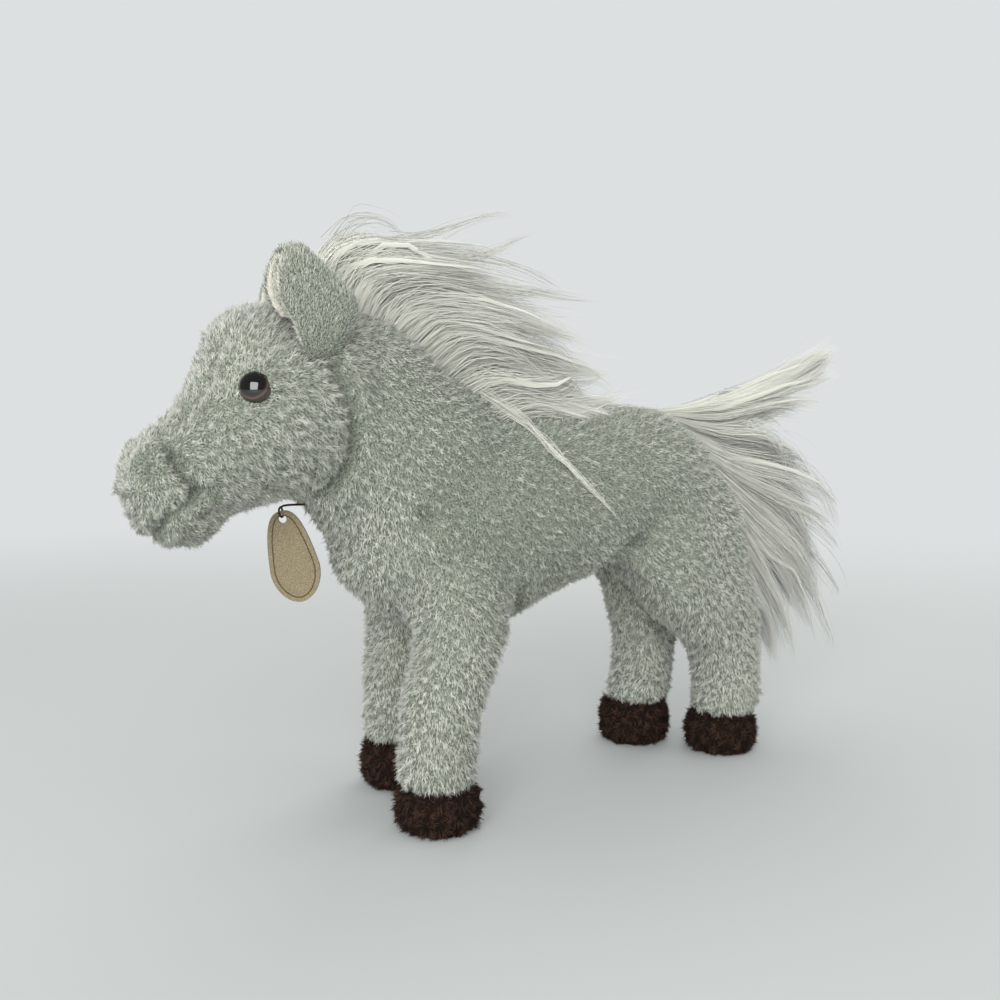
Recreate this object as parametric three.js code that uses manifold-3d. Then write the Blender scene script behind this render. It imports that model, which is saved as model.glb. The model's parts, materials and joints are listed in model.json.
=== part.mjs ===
// Plush horse: a stuffed toy that stands on four soft legs. Millimetres, +Z up.
// The nose points along -X, the horse's left side faces -Y, and the soles lie on Z = 0.
import * as THREE from "three";
import { mergeVertices } from "three/addons/utils/BufferGeometryUtils.js";
import Module from "manifold-3d";

const wasm = await Module();
wasm.setup();

// Stance, measured between the middles of the hooves
const stanceLength = 150;
const foreTrack = 55;
const hindTrack = 36;
const foreStep = 12.8;
const hindStep = 25.4;

// Torso: a barrel from the chest to the rump
const torsoLength = 208;
const torsoDepth = 90;
const torsoWidth = 76;
const bellyHeight = 77;
const chestReach = 37;

// Neck, from the crease behind the jaw into the shoulders
const neckDepth = 76;
const neckWidth = 58;
const neckLength = 92;
const neckSlopeAngle = THREE.MathUtils.degToRad(36);
const neckFanAngle = THREE.MathUtils.degToRad(30);

// Head: the nod axis lies in the crease, at the middle of a round back of the skull
const nodReach = 48.4;
const nodRise = 5.6;
const headLength = 67;
const headDepth = 75.6;
const headWidth = 61.4;
const headSlopeAngle = THREE.MathUtils.degToRad(22);
const nodSwingAngle = THREE.MathUtils.degToRad(8);

// Muzzle pad and chin
const muzzleLength = 25;
const muzzleDepth = 41;
const muzzleWidth = 43;
const chinLength = 26;
const chinDepth = 19;
const chinWidth = 30;

// Ears: leaves folded along the back edge and open in front
const earLength = 41;
const earDepth = 28;
const earWidth = 17;
const earWall = 2.2;
const earTuck = 3.6;
const earSwingAngle = THREE.MathUtils.degToRad(18);
const liningThickness = 1.8;

// Eyes: a domed safety eye, its shank and the lock washer behind the plush
const eyeDiameter = 12;
const eyeHeight = 5;
const shankDiameter = 3.6;
const shankLength = 9;
const washerDiameter = 14;
const washerThickness = 1.6;
const washerDish = 0.8;
const plushThickness = 2.4;

// Fore legs, from the shoulder to the hoof
const shoulderRadius = 21;
const shoulderThickness = 32;
const shoulderSpacing = 45;
const shoulderHeight = 96.5;
const shoulderSetback = 8;
const foreLegDepth = 32;
const foreLegWidth = 30;

// Hind legs, from the haunch to the hoof
const haunchRadius = 42;
const haunchThickness = 29;
const haunchSpacing = 45;
const haunchHeight = 103.6;
const haunchLead = 21.5;
const hindLegDepth = 33;
const hindLegWidth = 31;
const legSwingAngle = THREE.MathUtils.degToRad(12);

// Hooves: short round stuffed cups with a flat sole
const hoofHeight = 22;
const hoofDiameter = 34;
const soleDiameter = 28;
const soleCut = 0.5;

// Mane and tail
const maneLength = 150;
const maneHeight = 28;
const maneWidth = 34;
const maneLockDiameter = 17;
const tailLength = 150;
const tailWidth = 34;
const tailLockDiameter = 21;
const tailSwingAngle = THREE.MathUtils.degToRad(30);

// Hang tag: two leaves on a thread loop at the throat
const tagLength = 36.5;
const tagWidth = 19.5;
const tagThickness = 0.7;
const tagHole = 3.4;
const tagHoleInset = 3.2;
const tagDrop = 4.3;
const tagReach = 11;
const tagAngle = THREE.MathUtils.degToRad(34);
const tagTiltAngle = THREE.MathUtils.degToRad(13);
const threadDiameter = 0.8;
const threadPlay = 0.5;
const loopWidth = 6.8;

// Gap that neighbouring pieces keep at a seam
const seamGap = 0.3;

const plush = { color: 0x8e9a92, roughness: 0.95, metalness: 0 };
const paleLining = { color: 0xd9d6c9, roughness: 0.95, metalness: 0 };
const darkPlush = { color: 0x4a2f1d, roughness: 0.95, metalness: 0 };
const longFibre = { color: 0xcfcec0, roughness: 0.7, metalness: 0 };
const glossyEye = { color: 0x1b0f0a, roughness: 0.08, metalness: 0 };
const nylon = { color: 0xe6e4dc, roughness: 0.5, metalness: 0 };
const suedeCard = { color: 0xa3967f, roughness: 0.85, metalness: 0 };
const thread = { color: 0x3a2a1e, roughness: 0.8, metalness: 0 };

const left = -1;
const right = 1;
const across = new THREE.Vector3(0, 1, 0);
const upward = new THREE.Vector3(0, 0, 1);
const backward = new THREE.Vector3(1, 0, 0);

// Shape helpers

// A row of shares at any place between the given rows, on a smooth curve through them.
function rowAt(rows, place) {
  const places = rows.map((_, index) => index);
  const curve = new THREE.CubicInterpolant(places, rows.flat(), rows[0].length);
  return Array.from(curve.evaluate(place));
}

function smoothRows(rows, steps) {
  const count = (rows.length - 1) * steps;
  return Array.from({ length: count + 1 }, (_, index) => rowAt(rows, index / steps));
}

// Rings of equally many points, closed at both ends by a middle point.
function closedLoft(rings, first, last) {
  const sides = rings[0].length;
  const points = [first, ...rings.flat(), last];
  const index = [];
  const at = (ring, side) => 1 + ring * sides + (side % sides);
  for (let side = 0; side < sides; side += 1) {
    index.push(0, at(0, side + 1), at(0, side));
    index.push(points.length - 1, at(rings.length - 1, side), at(rings.length - 1, side + 1));
    for (let ring = 0; ring + 1 < rings.length; ring += 1) {
      index.push(at(ring, side), at(ring, side + 1), at(ring + 1, side));
      index.push(at(ring, side + 1), at(ring + 1, side + 1), at(ring + 1, side));
    }
  }
  const geometry = new THREE.BufferGeometry().setFromPoints(points);
  geometry.setIndex(index);
  return geometry;
}

// A stuffed form that swells and tapers along a line. A row holds shares: along the line, bow
// of the ring's middle, half depth over and under it, half width, and lean of the ring.
function stuffedForm({ start, end, up, bow, depth, width, fan = 0, rows, steps, sides }) {
  const line = end.clone().sub(start);
  const rise = bow ?? up.clone().multiplyScalar(depth / 2);
  const ringAt = ([along, bowShare, over, under, half, lean = 0]) => {
    const upLean = up.clone().applyAxisAngle(across, lean * fan);
    const middle = start.clone().addScaledVector(line, along).addScaledVector(rise, bowShare);
    const point = (turn) => {
      const reach = Math.sin(turn) > 0 ? over : under;
      return middle
        .clone()
        .addScaledVector(across, (Math.cos(turn) * half * width) / 2)
        .addScaledVector(upLean, (Math.sin(turn) * reach * depth) / 2);
    };
    return { middle, point, open: half > 0 };
  };
  const rings = smoothRows(rows, steps).map(ringAt);
  const turns = Array.from({ length: sides }, (_, side) => (side / sides) * 2 * Math.PI);
  const facing = new THREE.Vector3().crossVectors(across, up).dot(line);
  if (facing < 0) turns.reverse();
  const loops = rings.filter((ring) => ring.open).map((ring) => turns.map(ring.point));
  const geometry = closedLoft(loops, rings[0].middle, rings.at(-1).middle);
  const surface = (row, turn) => ringAt(rowAt(rows, row)).point(turn);
  return { geometry, surface };
}

// The far half of a round joint: rows from its pole to its widest ring, on a spheroid.
const roundRings = 5;

function roundRows(lengthShare, size = 1, width = size) {
  return Array.from({ length: roundRings }, (_, index) => {
    const turn = (index / roundRings) * (Math.PI / 2);
    const [reach, half] = [Math.sin(turn) * size, Math.sin(turn) * width];
    return [-lengthShare * size * Math.cos(turn), 0, reach, reach, half];
  });
}

// How much larger a faceted socket is than its faceted ball, so that the ball can turn.
function socketSlack(sides, steps) {
  return 1 / (Math.cos(Math.PI / sides) * Math.cos(Math.PI / (4 * roundRings * steps)));
}

// A tapered lock of fibres along a curve, widest near its root and pointed at its tip.
function lockForm(points, diameter, steps = 6, sides = 5) {
  const curve = new THREE.CatmullRomCurve3(points);
  const frames = curve.computeFrenetFrames(steps, false);
  const loops = [];
  for (let step = 0; step < steps; step += 1) {
    const share = step / steps;
    const radius = (diameter / 2) * (0.7 + 1.2 * share) * (1 - share) ** 0.8;
    const middle = curve.getPointAt(share);
    const loop = Array.from({ length: sides }, (_, side) => {
      const turn = (side / sides) * 2 * Math.PI;
      return middle
        .clone()
        .addScaledVector(frames.normals[step], Math.cos(turn) * radius)
        .addScaledVector(frames.binormals[step], Math.sin(turn) * radius);
    });
    loops.push(loop);
  }
  return closedLoft(loops, curve.getPointAt(0), curve.getPointAt(1));
}

function bare(geometry) {
  const copy = geometry.clone();
  copy.deleteAttribute("normal");
  copy.deleteAttribute("uv");
  return mergeVertices(copy);
}

// The same shape with its surface moved outwards.
function grown(geometry, by) {
  const copy = bare(geometry);
  copy.computeVertexNormals();
  const { position, normal } = copy.attributes;
  for (let i = 0; i < position.count; i += 1) {
    const x = position.getX(i) + normal.getX(i) * by;
    const y = position.getY(i) + normal.getY(i) * by;
    position.setXYZ(i, x, y, position.getZ(i) + normal.getZ(i) * by);
  }
  return copy;
}

function turned(geometry, pivot, axis, angle) {
  const turn = new THREE.Matrix4().makeRotationAxis(axis, angle);
  const to = new THREE.Matrix4().makeTranslation(pivot);
  const back = new THREE.Matrix4().makeTranslation(pivot.clone().negate());
  return geometry.clone().applyMatrix4(to.multiply(turn).multiply(back));
}

// Solids that join and cut

function solidOf(geometry) {
  const merged = bare(geometry);
  const vertProperties = new Float32Array(merged.attributes.position.array);
  const triVerts = new Uint32Array(merged.index.array);
  return new wasm.Manifold(new wasm.Mesh({ numProp: 3, vertProperties, triVerts }));
}

function geometryOf(solid) {
  const { vertProperties, triVerts } = solid.getMesh();
  const geometry = new THREE.BufferGeometry();
  geometry.setAttribute("position", new THREE.BufferAttribute(vertProperties, 3));
  geometry.setIndex(new THREE.BufferAttribute(triVerts, 1));
  return geometry;
}

const joined = (geometries) => geometries.map(solidOf).reduce((whole, piece) => whole.add(piece));

const clearOf = (geometry) => solidOf(grown(geometry, seamGap));

// The piece that cuts, grown by the seam gap and turned to each of the given angles.
function turnedRoom(geometry, pivot, axis, angles) {
  return joined(angles.map((angle) => turned(grown(geometry, seamGap), pivot, axis, angle)));
}

// The largest of the bodies that a cut may leave.
function mainBody(solid) {
  return solid.decompose().reduce((best, body) => (body.volume() > best.volume() ? body : best));
}

// Forms

const torsoMiddle = bellyHeight + torsoDepth / 2;
const chestFront = new THREE.Vector3(-chestReach, 0, torsoMiddle);
const rumpBack = new THREE.Vector3(torsoLength - chestReach, 0, torsoMiddle);
const torso = stuffedForm({
  start: chestFront,
  end: rumpBack,
  up: upward,
  depth: torsoDepth,
  width: torsoWidth,
  steps: 1,
  sides: 22,
  rows: [
    [0, -0.25, 0, 0, 0],
    [0.02, -0.24, 0.34, 0.34, 0.38],
    [0.06, -0.18, 0.6, 0.6, 0.64],
    [0.13, -0.1, 0.83, 0.83, 0.86],
    [0.24, -0.04, 0.99, 0.99, 0.98],
    [0.39, -0.01, 1.02, 1.02, 1],
    [0.56, 0.02, 0.99, 0.99, 1],
    [0.7, 0.11, 0.95, 0.95, 0.98],
    [0.798, 0.13, 0.9, 0.9, 0.94],
    [0.89, -0.02, 0.78, 0.78, 0.82],
    [0.96, -0.24, 0.56, 0.56, 0.6],
    [0.99, -0.4, 0.3, 0.3, 0.33],
    [1, -0.46, 0, 0, 0],
  ],
});

const nodAxis = new THREE.Vector3(-nodReach, 0, bellyHeight + torsoDepth + nodRise);
const neckUp = new THREE.Vector3(Math.sin(neckSlopeAngle), 0, Math.cos(neckSlopeAngle));
const neckLine = new THREE.Vector3(Math.cos(neckSlopeAngle), 0, -Math.sin(neckSlopeAngle));
const neckBase = nodAxis.clone().addScaledVector(neckLine, neckLength);
const neck = stuffedForm({
  start: nodAxis,
  end: neckBase,
  up: neckUp,
  depth: neckDepth,
  width: neckWidth,
  fan: neckFanAngle,
  steps: 2,
  sides: 20,
  rows: [
    [0, 0, 0.98, 0.98, 0.98, -1],
    [0.22, 0, 1.24, 0.98, 1, -0.54],
    [0.44, 0, 1.18, 1.07, 1.07, -0.1],
    [0.66, 0, 1.26, 1.22, 1.17, 0.28],
    [0.85, 0, 1.1, 1.02, 1.04, 0.42],
    [1, 0, 0, 0, 0, 0.42],
  ],
});

const headUp = new THREE.Vector3(-Math.sin(headSlopeAngle), 0, Math.cos(headSlopeAngle));
const headLine = new THREE.Vector3(-Math.cos(headSlopeAngle), 0, -Math.sin(headSlopeAngle));
const headSides = 20;
const noseEnd = nodAxis.clone().addScaledVector(headLine, headLength);
const head = stuffedForm({
  start: nodAxis,
  end: noseEnd,
  up: headUp,
  depth: headDepth,
  width: headWidth,
  steps: 1,
  sides: headSides,
  rows: [
    ...roundRows(headDepth / 2 / headLength),
    [0, 0, 1, 1, 1],
    [0.09, 0, 1.07, 0.96, 1.05],
    [0.21, 0, 1.11, 0.9, 1.1],
    [0.33, 0, 1.05, 0.84, 1.12],
    [0.45, 0, 0.87, 0.78, 1.07],
    [0.55, 0, 0.66, 0.75, 1],
    [0.66, 0, 0.49, 0.73, 0.9],
    [0.77, 0, 0.38, 0.71, 0.79],
    [0.87, 0, 0.31, 0.65, 0.67],
    [0.94, 0, 0.24, 0.5, 0.52],
    [0.985, 0, 0.13, 0.3, 0.32],
    [1, -0.1, 0, 0, 0],
  ],
});

// The hollow in the neck that the round back of the head turns in.
function headSocket() {
  const slack = socketSlack(headSides, 1);
  const size = slack + (2 * seamGap) / headDepth;
  const width = slack + (2 * seamGap) / headWidth;
  const widest = [0, 0, size, size, width];
  const front = [headDepth / 4 / headLength, 0, 0, 0, 0];
  return stuffedForm({
    start: nodAxis,
    end: noseEnd,
    up: headUp,
    depth: headDepth,
    width: headWidth,
    steps: 1,
    sides: headSides,
    rows: [...roundRows(headDepth / 2 / headLength, size, width), widest, front],
  }).geometry;
}

// The pad sits over the end of the nose. Its middle lies a little under the head's line.
const muzzleRiseShare = -0.2;
const muzzleStart = nodAxis.clone().addScaledVector(headLine, headLength - muzzleLength / 2);
const muzzle = stuffedForm({
  start: muzzleStart.clone().addScaledVector(headUp, (muzzleRiseShare * headDepth) / 2),
  end: muzzleStart
    .clone()
    .addScaledVector(headLine, muzzleLength)
    .addScaledVector(headUp, (muzzleRiseShare * headDepth) / 2),
  up: headUp,
  depth: muzzleDepth,
  width: muzzleWidth,
  steps: 1,
  sides: 16,
  rows: [
    [0, 0, 0, 0, 0],
    [0.04, 0, 0.7, 0.72, 0.7],
    [0.18, 0, 0.92, 0.94, 0.93],
    [0.4, -0.02, 0.94, 1, 1],
    [0.65, -0.06, 0.84, 0.94, 0.95],
    [0.87, -0.1, 0.58, 0.7, 0.73],
    [0.97, -0.12, 0.32, 0.38, 0.42],
    [1, -0.12, 0, 0, 0],
  ],
});

// The chin hangs under the end of the jaw and stops short of the pad's front.
const chinFront = muzzleStart.clone().addScaledVector(headLine, muzzleLength * 0.72);
const chinLevel = (-0.62 * headDepth) / 2;
const chin = stuffedForm({
  start: chinFront.clone().addScaledVector(headLine, -chinLength).addScaledVector(headUp, chinLevel),
  end: chinFront.clone().addScaledVector(headUp, chinLevel),
  up: headUp,
  depth: chinDepth,
  width: chinWidth,
  steps: 1,
  sides: 14,
  rows: [
    [0, 0.1, 0, 0, 0],
    [0.06, 0.1, 0.45, 0.4, 0.45],
    [0.3, 0.04, 0.9, 0.82, 0.86],
    [0.6, 0, 1, 1, 1],
    [0.85, -0.02, 0.75, 0.78, 0.8],
    [0.97, -0.05, 0.36, 0.38, 0.4],
    [1, -0.05, 0, 0, 0],
  ],
});

// Legs: the round top is a spheroid about the joint's axis, so it turns in its socket.
// Below it a row holds shares: down the leg, sway towards the hoof, reach fore and aft, half width.
const legSteps = 1;

function legRows({ pivot, sole, thickness, radius, depth, width, rows, sides }, swing) {
  const slack = swing ? socketSlack(sides, legSteps) : 1;
  const gap = swing ? seamGap : 0;
  const drop = pivot.z - sole.z - hoofHeight - seamGap;
  const ballShare = (radius * slack + gap) / radius;
  const ballHalf = (thickness * slack + 2 * gap) / thickness;
  const shaft = rows.map(([along, sway, fore, aft, half]) => {
    const below = along * drop;
    const rim = Math.sqrt(Math.max((radius * ballShare) ** 2 - below ** 2, 0));
    const reach = (share) => {
      const still = (share * depth) / 2;
      if (!swing) return still / radius;
      const swept = still / Math.cos(swing) + below * Math.tan(swing) + gap;
      return (Math.hypot(still, below) < radius ? Math.max(rim, still + gap) : swept) / radius;
    };
    return [along, sway, reach(aft), reach(fore), (half * width + 2 * gap) / thickness];
  });
  const ball = roundRows(radius / drop, ballShare, ballHalf);
  return [...ball, [0, 0, ballShare, ballShare, ballHalf], ...shaft];
}

function legForm(leg, swing = 0) {
  const ankle = leg.pivot.clone().setZ(leg.sole.z + hoofHeight + seamGap);
  return stuffedForm({
    start: leg.pivot,
    end: ankle,
    up: backward,
    bow: leg.sole.clone().sub(leg.pivot).setZ(0),
    depth: leg.radius * 2,
    width: leg.thickness,
    steps: legSteps,
    sides: leg.sides,
    rows: legRows(leg, swing),
  }).geometry;
}

function foreLeg(side) {
  return {
    pivot: new THREE.Vector3(shoulderSetback, (side * shoulderSpacing) / 2, shoulderHeight),
    sole: new THREE.Vector3((side * foreStep) / 2, (side * foreTrack) / 2, 0),
    thickness: shoulderThickness,
    radius: shoulderRadius,
    depth: foreLegDepth,
    width: foreLegWidth,
    sides: 16,
    rows: [
      [0.22, 0.3, 1.17, 1.2, 1.03],
      [0.48, 0.68, 1.05, 1.06, 1.02],
      [0.76, 0.93, 1, 1, 0.98],
      [0.92, 1.03, 0.99, 0.99, 1],
      [1, 1.03, 0.96, 0.96, 0.97],
    ],
  };
}

function hindLeg(side) {
  return {
    pivot: new THREE.Vector3(stanceLength - haunchLead, (side * haunchSpacing) / 2, haunchHeight),
    sole: new THREE.Vector3(stanceLength - (side * hindStep) / 2, (side * hindTrack) / 2, 0),
    thickness: haunchThickness,
    radius: haunchRadius,
    depth: hindLegDepth,
    width: hindLegWidth,
    sides: 18,
    rows: [
      [0.25, 0.12, 2.3, 2.72, 0.98],
      [0.44, 0.58, 1.5, 2.12, 0.98],
      [0.61, 0.95, 1.08, 1.36, 0.98],
      [0.78, 1.1, 1, 1.03, 1],
      [0.91, 1.12, 0.99, 1, 1],
      [1, 1.05, 0.97, 0.97, 0.97],
    ],
  };
}

const legs = {
  left_front: foreLeg(left),
  right_front: foreLeg(right),
  left_hind: hindLeg(left),
  right_hind: hindLeg(right),
};

// A hoof swells from its sole to the middle and draws in again at the leg's seam.
function hoofForm() {
  const swell = new THREE.SplineCurve([
    new THREE.Vector2((soleDiameter * 0.86) / 2, -soleCut),
    new THREE.Vector2(soleDiameter / 2, soleCut),
    new THREE.Vector2(hoofDiameter * 0.49, hoofHeight * 0.22),
    new THREE.Vector2(hoofDiameter / 2, hoofHeight * 0.48),
    new THREE.Vector2(hoofDiameter * 0.475, hoofHeight * 0.8),
    new THREE.Vector2(hoofDiameter * 0.44, hoofHeight),
  ]);
  const outline = swell.getPoints(6).filter((point) => point.y > 0);
  const sole = [new THREE.Vector2(0, 0), new THREE.Vector2(soleDiameter / 2, 0)];
  return new THREE.LatheGeometry([...sole, ...outline, new THREE.Vector2(0, hoofHeight)], 16);
}

// Ears: each is a leaf folded along its back edge and open in front, and a thinner pale leaf
// lines its hollow.
const earBaseAngle = THREE.MathUtils.degToRad(148);
const earRow = 4.85;

// The left ear leans forwards and out and is tucked deep into its seam. The right one leans back.
const earPoses = {
  left: {
    leanAngle: THREE.MathUtils.degToRad(14),
    tiltAngle: THREE.MathUtils.degToRad(8),
    tuck: earTuck,
  },
  right: {
    leanAngle: THREE.MathUtils.degToRad(-34),
    tiltAngle: THREE.MathUtils.degToRad(-4),
    tuck: earTuck / 2,
  },
};

// A leaf's shares from root to tip: depth from the front edge to the fold, width, and sway back.
const leafShares = [
  [0.42, 0.6, -0.02],
  [0.72, 0.86, 0.04],
  [0.93, 0.98, 0.1],
  [1.02, 1, 0.09],
  [0.98, 0.98, -0.01],
  [0.82, 0.92, -0.09],
  [0.58, 0.8, -0.13],
  [0.26, 0.44, -0.14],
];
const leafArc = [-90, -60, -30, 0, 30, 60, 90].map(THREE.MathUtils.degToRad);

function earFrame(side, { leanAngle, tiltAngle }) {
  const turn = side === left ? earBaseAngle : Math.PI - earBaseAngle;
  const frame = new THREE.Group();
  frame.position.copy(head.surface(earRow, turn));
  frame.rotation.set(-side * tiltAngle, -leanAngle, 0, "ZXY");
  frame.updateMatrixWorld();
  return frame;
}

// The leaf's section at a height: an arch about the fold whose two sides run to the front edge.
function leafSection(height, tuck, inset, ahead) {
  const place = ((height + tuck) / earLength) * (leafShares.length - 1);
  const [deep, wide, sway] = rowAt(leafShares, place);
  const half = (wide * earWidth) / 2 - inset;
  const bend = (sway + deep / 2) * earDepth - inset - half;
  const front = (sway - deep / 2) * earDepth - ahead;
  const arch = leafArc.map(
    (turn) => new THREE.Vector3(bend + half * Math.cos(turn), half * Math.sin(turn), height),
  );
  const edges = [-half, half].map((y) => new THREE.Vector3(front, y, height));
  return { ring: [edges[0], ...arch, edges[1]], middle: new THREE.Vector3(bend, 0, height) };
}

// A leaf stands along Z from its root to its tip, with its fold towards +X. Inset draws its
// sides in, and ahead moves its front edge out, as the hollow of a wider leaf needs.
function leafForm(tuck, { root, tip, inset, ahead = 0 }) {
  const levels = 14;
  const between = Array.from({ length: levels }, (_, level) => {
    const share = Math.sin((level / levels) * (Math.PI / 2));
    return share * earLength - tuck;
  }).filter((height) => height > root + seamGap && height < tip - seamGap);
  const sections = [root, ...between, tip].map((height) => leafSection(height, tuck, inset, ahead));
  return closedLoft(
    sections.map((section) => section.ring),
    sections[0].middle,
    sections.at(-1).middle,
  );
}

function earForms(side, pose) {
  const frame = earFrame(side, pose);
  const place = (size) => solidOf(leafForm(pose.tuck, size).applyMatrix4(frame.matrixWorld));
  const top = earLength - pose.tuck;
  const under = top - earWall;
  const past = earDepth / 2;
  const outer = place({ root: -pose.tuck, tip: top, inset: 0 }).subtract(
    place({ root: 0, tip: under, inset: earWall, ahead: past }),
  );
  const seat = earWall + seamGap;
  const inner = place({ root: seamGap, tip: under - seamGap, inset: seat }).subtract(
    place({
      root: liningThickness,
      tip: under - seamGap - liningThickness,
      inset: seat + liningThickness,
      ahead: past,
    }),
  );
  const axis = new THREE.Vector3(0, 1, 0).applyQuaternion(frame.quaternion);
  return { outer, inner, axis, pivot: frame.position.clone() };
}
const ears = { left: earForms(left, earPoses.left), right: earForms(right, earPoses.right) };

// Eyes sit square to the plush, half way up the side of the head.
const eyeRow = 8.8;
const eyeAngle = THREE.MathUtils.degToRad(151);

function eyeFrame(side) {
  const turn = side === left ? eyeAngle : Math.PI - eyeAngle;
  const seat = head.surface(eyeRow, turn);
  const ahead = head.surface(eyeRow + 0.5, turn).sub(head.surface(eyeRow - 0.5, turn));
  const around = head.surface(eyeRow, turn + 0.1).sub(head.surface(eyeRow, turn - 0.1));
  const out = new THREE.Vector3().crossVectors(ahead, around).normalize();
  if (out.y * side < 0) out.negate();
  const frame = new THREE.Group();
  frame.position.copy(seat);
  frame.quaternion.setFromUnitVectors(upward, out);
  frame.updateMatrixWorld();
  return frame;
}

// Lathe profiles are drawn as radius and height, and stood up along Z.
function standingLathe(points, segments) {
  const profile = points.map(([radius, height]) => new THREE.Vector2(radius, height));
  return new THREE.LatheGeometry(profile, segments).rotateX(Math.PI / 2);
}

function eyeForm() {
  const radius = eyeDiameter / 2;
  const shank = shankDiameter / 2;
  const rim = eyeHeight * 0.16;
  const dome = Array.from({ length: 4 }, (_, index) => {
    const turn = (index / 4) * (Math.PI / 2);
    return [radius * Math.cos(turn), rim + (eyeHeight - rim) * Math.sin(turn)];
  });
  const tip = [shank * 0.7, -shankLength];
  const stem = [[0, -shankLength], tip, [shank, -shankLength + shank * 0.6], [shank, 0]];
  return standingLathe([...stem, [radius, 0], ...dome, [0, eyeHeight]], 14);
}

function washerForm() {
  const bore = shankDiameter / 2 + seamGap;
  const rim = washerDiameter / 2;
  const top = -plushThickness;
  const low = top - washerThickness;
  const ring = [[bore, low - washerDish], [rim, low], [rim, top], [bore, top - washerDish]];
  return standingLathe([...ring, ring[0]], 14);
}
const eyes = { left: eyeFrame(left), right: eyeFrame(right) };
const placedIn = (frame, geometry) => geometry.clone().applyMatrix4(frame.matrixWorld);

// Mane: a thick ridge on the crest of the neck, with locks that blow back over the withers.
const crestRow = (row) => neck.surface(row, Math.PI / 2);
const poll = nodAxis.clone().addScaledVector(upward, headDepth / 2 + maneHeight / 4);
const crestRows = [2, 3, 4, 5];
const crest = new THREE.CatmullRomCurve3([poll, ...crestRows.map(crestRow)]);
const ridgeShares = [
  [0.5, 0.8],
  [0.78, 1],
  [0.96, 0.98],
  [1, 0.9],
  [0.96, 0.7],
  [0.8, 0.5],
  [0.5, 0.3],
];

function ridgeForm() {
  const sides = 12;
  const last = ridgeShares.length - 1;
  const frameAt = (share) => {
    const along = crest.getTangentAt(share);
    const out = new THREE.Vector3().crossVectors(across, along).normalize();
    return { middle: crest.getPointAt(share), out: out.z < 0 ? out.negate() : out };
  };
  const loops = ridgeShares.map(([half, height], row) => {
    const { middle, out } = frameAt(THREE.MathUtils.lerp(0.03, 0.96, row / last));
    return Array.from({ length: sides }, (_, side) => {
      const turn = (side / sides) * 2 * Math.PI;
      return middle
        .clone()
        .addScaledVector(across, (Math.cos(turn) * half * maneWidth) / 2)
        .addScaledVector(out, Math.sin(turn) * height * maneHeight);
    });
  });
  return closedLoft(loops, frameAt(0).middle, frameAt(1).middle);
}

// A lock's shares: root along the crest, rise over it, then how far its tip lies back from the
// poll, up, and aside.
const maneLockShares = [
  [0.12, 0.7, 0.56, 0.09, 0.02],
  [0.22, 0.66, 0.74, 0.04, -0.06],
  [0.3, 0.66, 0.96, -0.02, 0.05],
  [0.4, 0.7, 0.8, -0.09, -0.1],
  [0.5, 0.6, 0.88, -0.17, 0.09],
  [0.6, 0.5, 0.8, -0.22, -0.12],
  [0.74, 0.45, 0.96, -0.27, 0.12],
  [0.86, 0.4, 1.06, -0.29, -0.08],
];

function maneLock([root, rise, back, up, aside]) {
  const start = crest.getPointAt(root);
  const tip = poll.clone().add(new THREE.Vector3(back, aside, up).multiplyScalar(maneLength));
  const point = (share, lift) =>
    start.clone().lerp(tip, share).addScaledVector(upward, lift * rise * maneHeight);
  return lockForm([point(0, 0.1), point(0.25, 0.9), point(0.6, 0.6), tip], maneLockDiameter);
}

// Tail: a core that leaves the top of the rump and falls behind it, with spreading locks.
const tailRow = 8;
const tailPivot = torso.surface(tailRow, Math.PI / 2);
const tailPoint = (back, up, aside = 0) =>
  tailPivot.clone().add(new THREE.Vector3(back * tailLength, aside * tailLength, up * tailLength));

const tailCoreShares = [
  [-0.01, -0.06],
  [0.12, -0.01],
  [0.28, -0.1],
  [0.41, -0.3],
  [0.5, -0.54],
  [0.54, -0.74],
];
// A lock's shares: the bend, then the tip, each back and up from the root, and aside.
const tailLockShares = [
  [0.46, 0.07, 0.84, 0.2, -0.05],
  [0.4, 0.03, 0.6, 0.08, 0.06],
  [0.5, -0.04, 0.72, -0.2, -0.07],
  [0.52, -0.14, 0.84, -0.4, 0.05],
  [0.54, -0.26, 0.78, -0.56, -0.05],
  [0.5, -0.36, 0.66, -0.76, 0.06],
  [0.44, -0.4, 0.56, -0.82, -0.06],
  [0.38, -0.36, 0.46, -0.78, 0.03],
];

function tailForms() {
  const path = new THREE.CatmullRomCurve3(tailCoreShares.map(([back, up]) => tailPoint(back, up)));
  const sizes = [0.42, 0.66, 0.88, 1, 0.96, 0.78, 0.5, 0.24];
  const frameOf = (share) => {
    const out = new THREE.Vector3().crossVectors(across, path.getTangentAt(share)).normalize();
    return { middle: path.getPointAt(share), out };
  };
  const sides = 12;
  const loops = sizes.map((size, row) => {
    const { middle, out } = frameOf(row / sizes.length);
    return Array.from({ length: sides }, (_, side) => {
      const turn = (-side / sides) * 2 * Math.PI;
      return middle
        .clone()
        .addScaledVector(across, (Math.cos(turn) * size * tailWidth) / 2)
        .addScaledVector(out, (Math.sin(turn) * size * tailWidth) / 2);
    });
  });
  const core = closedLoft(loops, path.getPointAt(0), path.getPointAt(1));
  const locks = tailLockShares.map(([midBack, midUp, back, up, aside]) => {
    const points = [
      tailPoint(0.04, -0.02),
      tailPoint(midBack * 0.45, midUp * 0.3 - 0.03, aside * 0.3),
      tailPoint(midBack, midUp, aside * 0.8),
      tailPoint(back, up, aside),
    ];
    return lockForm(points, tailLockDiameter);
  });
  return [core, ...locks];
}

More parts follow.
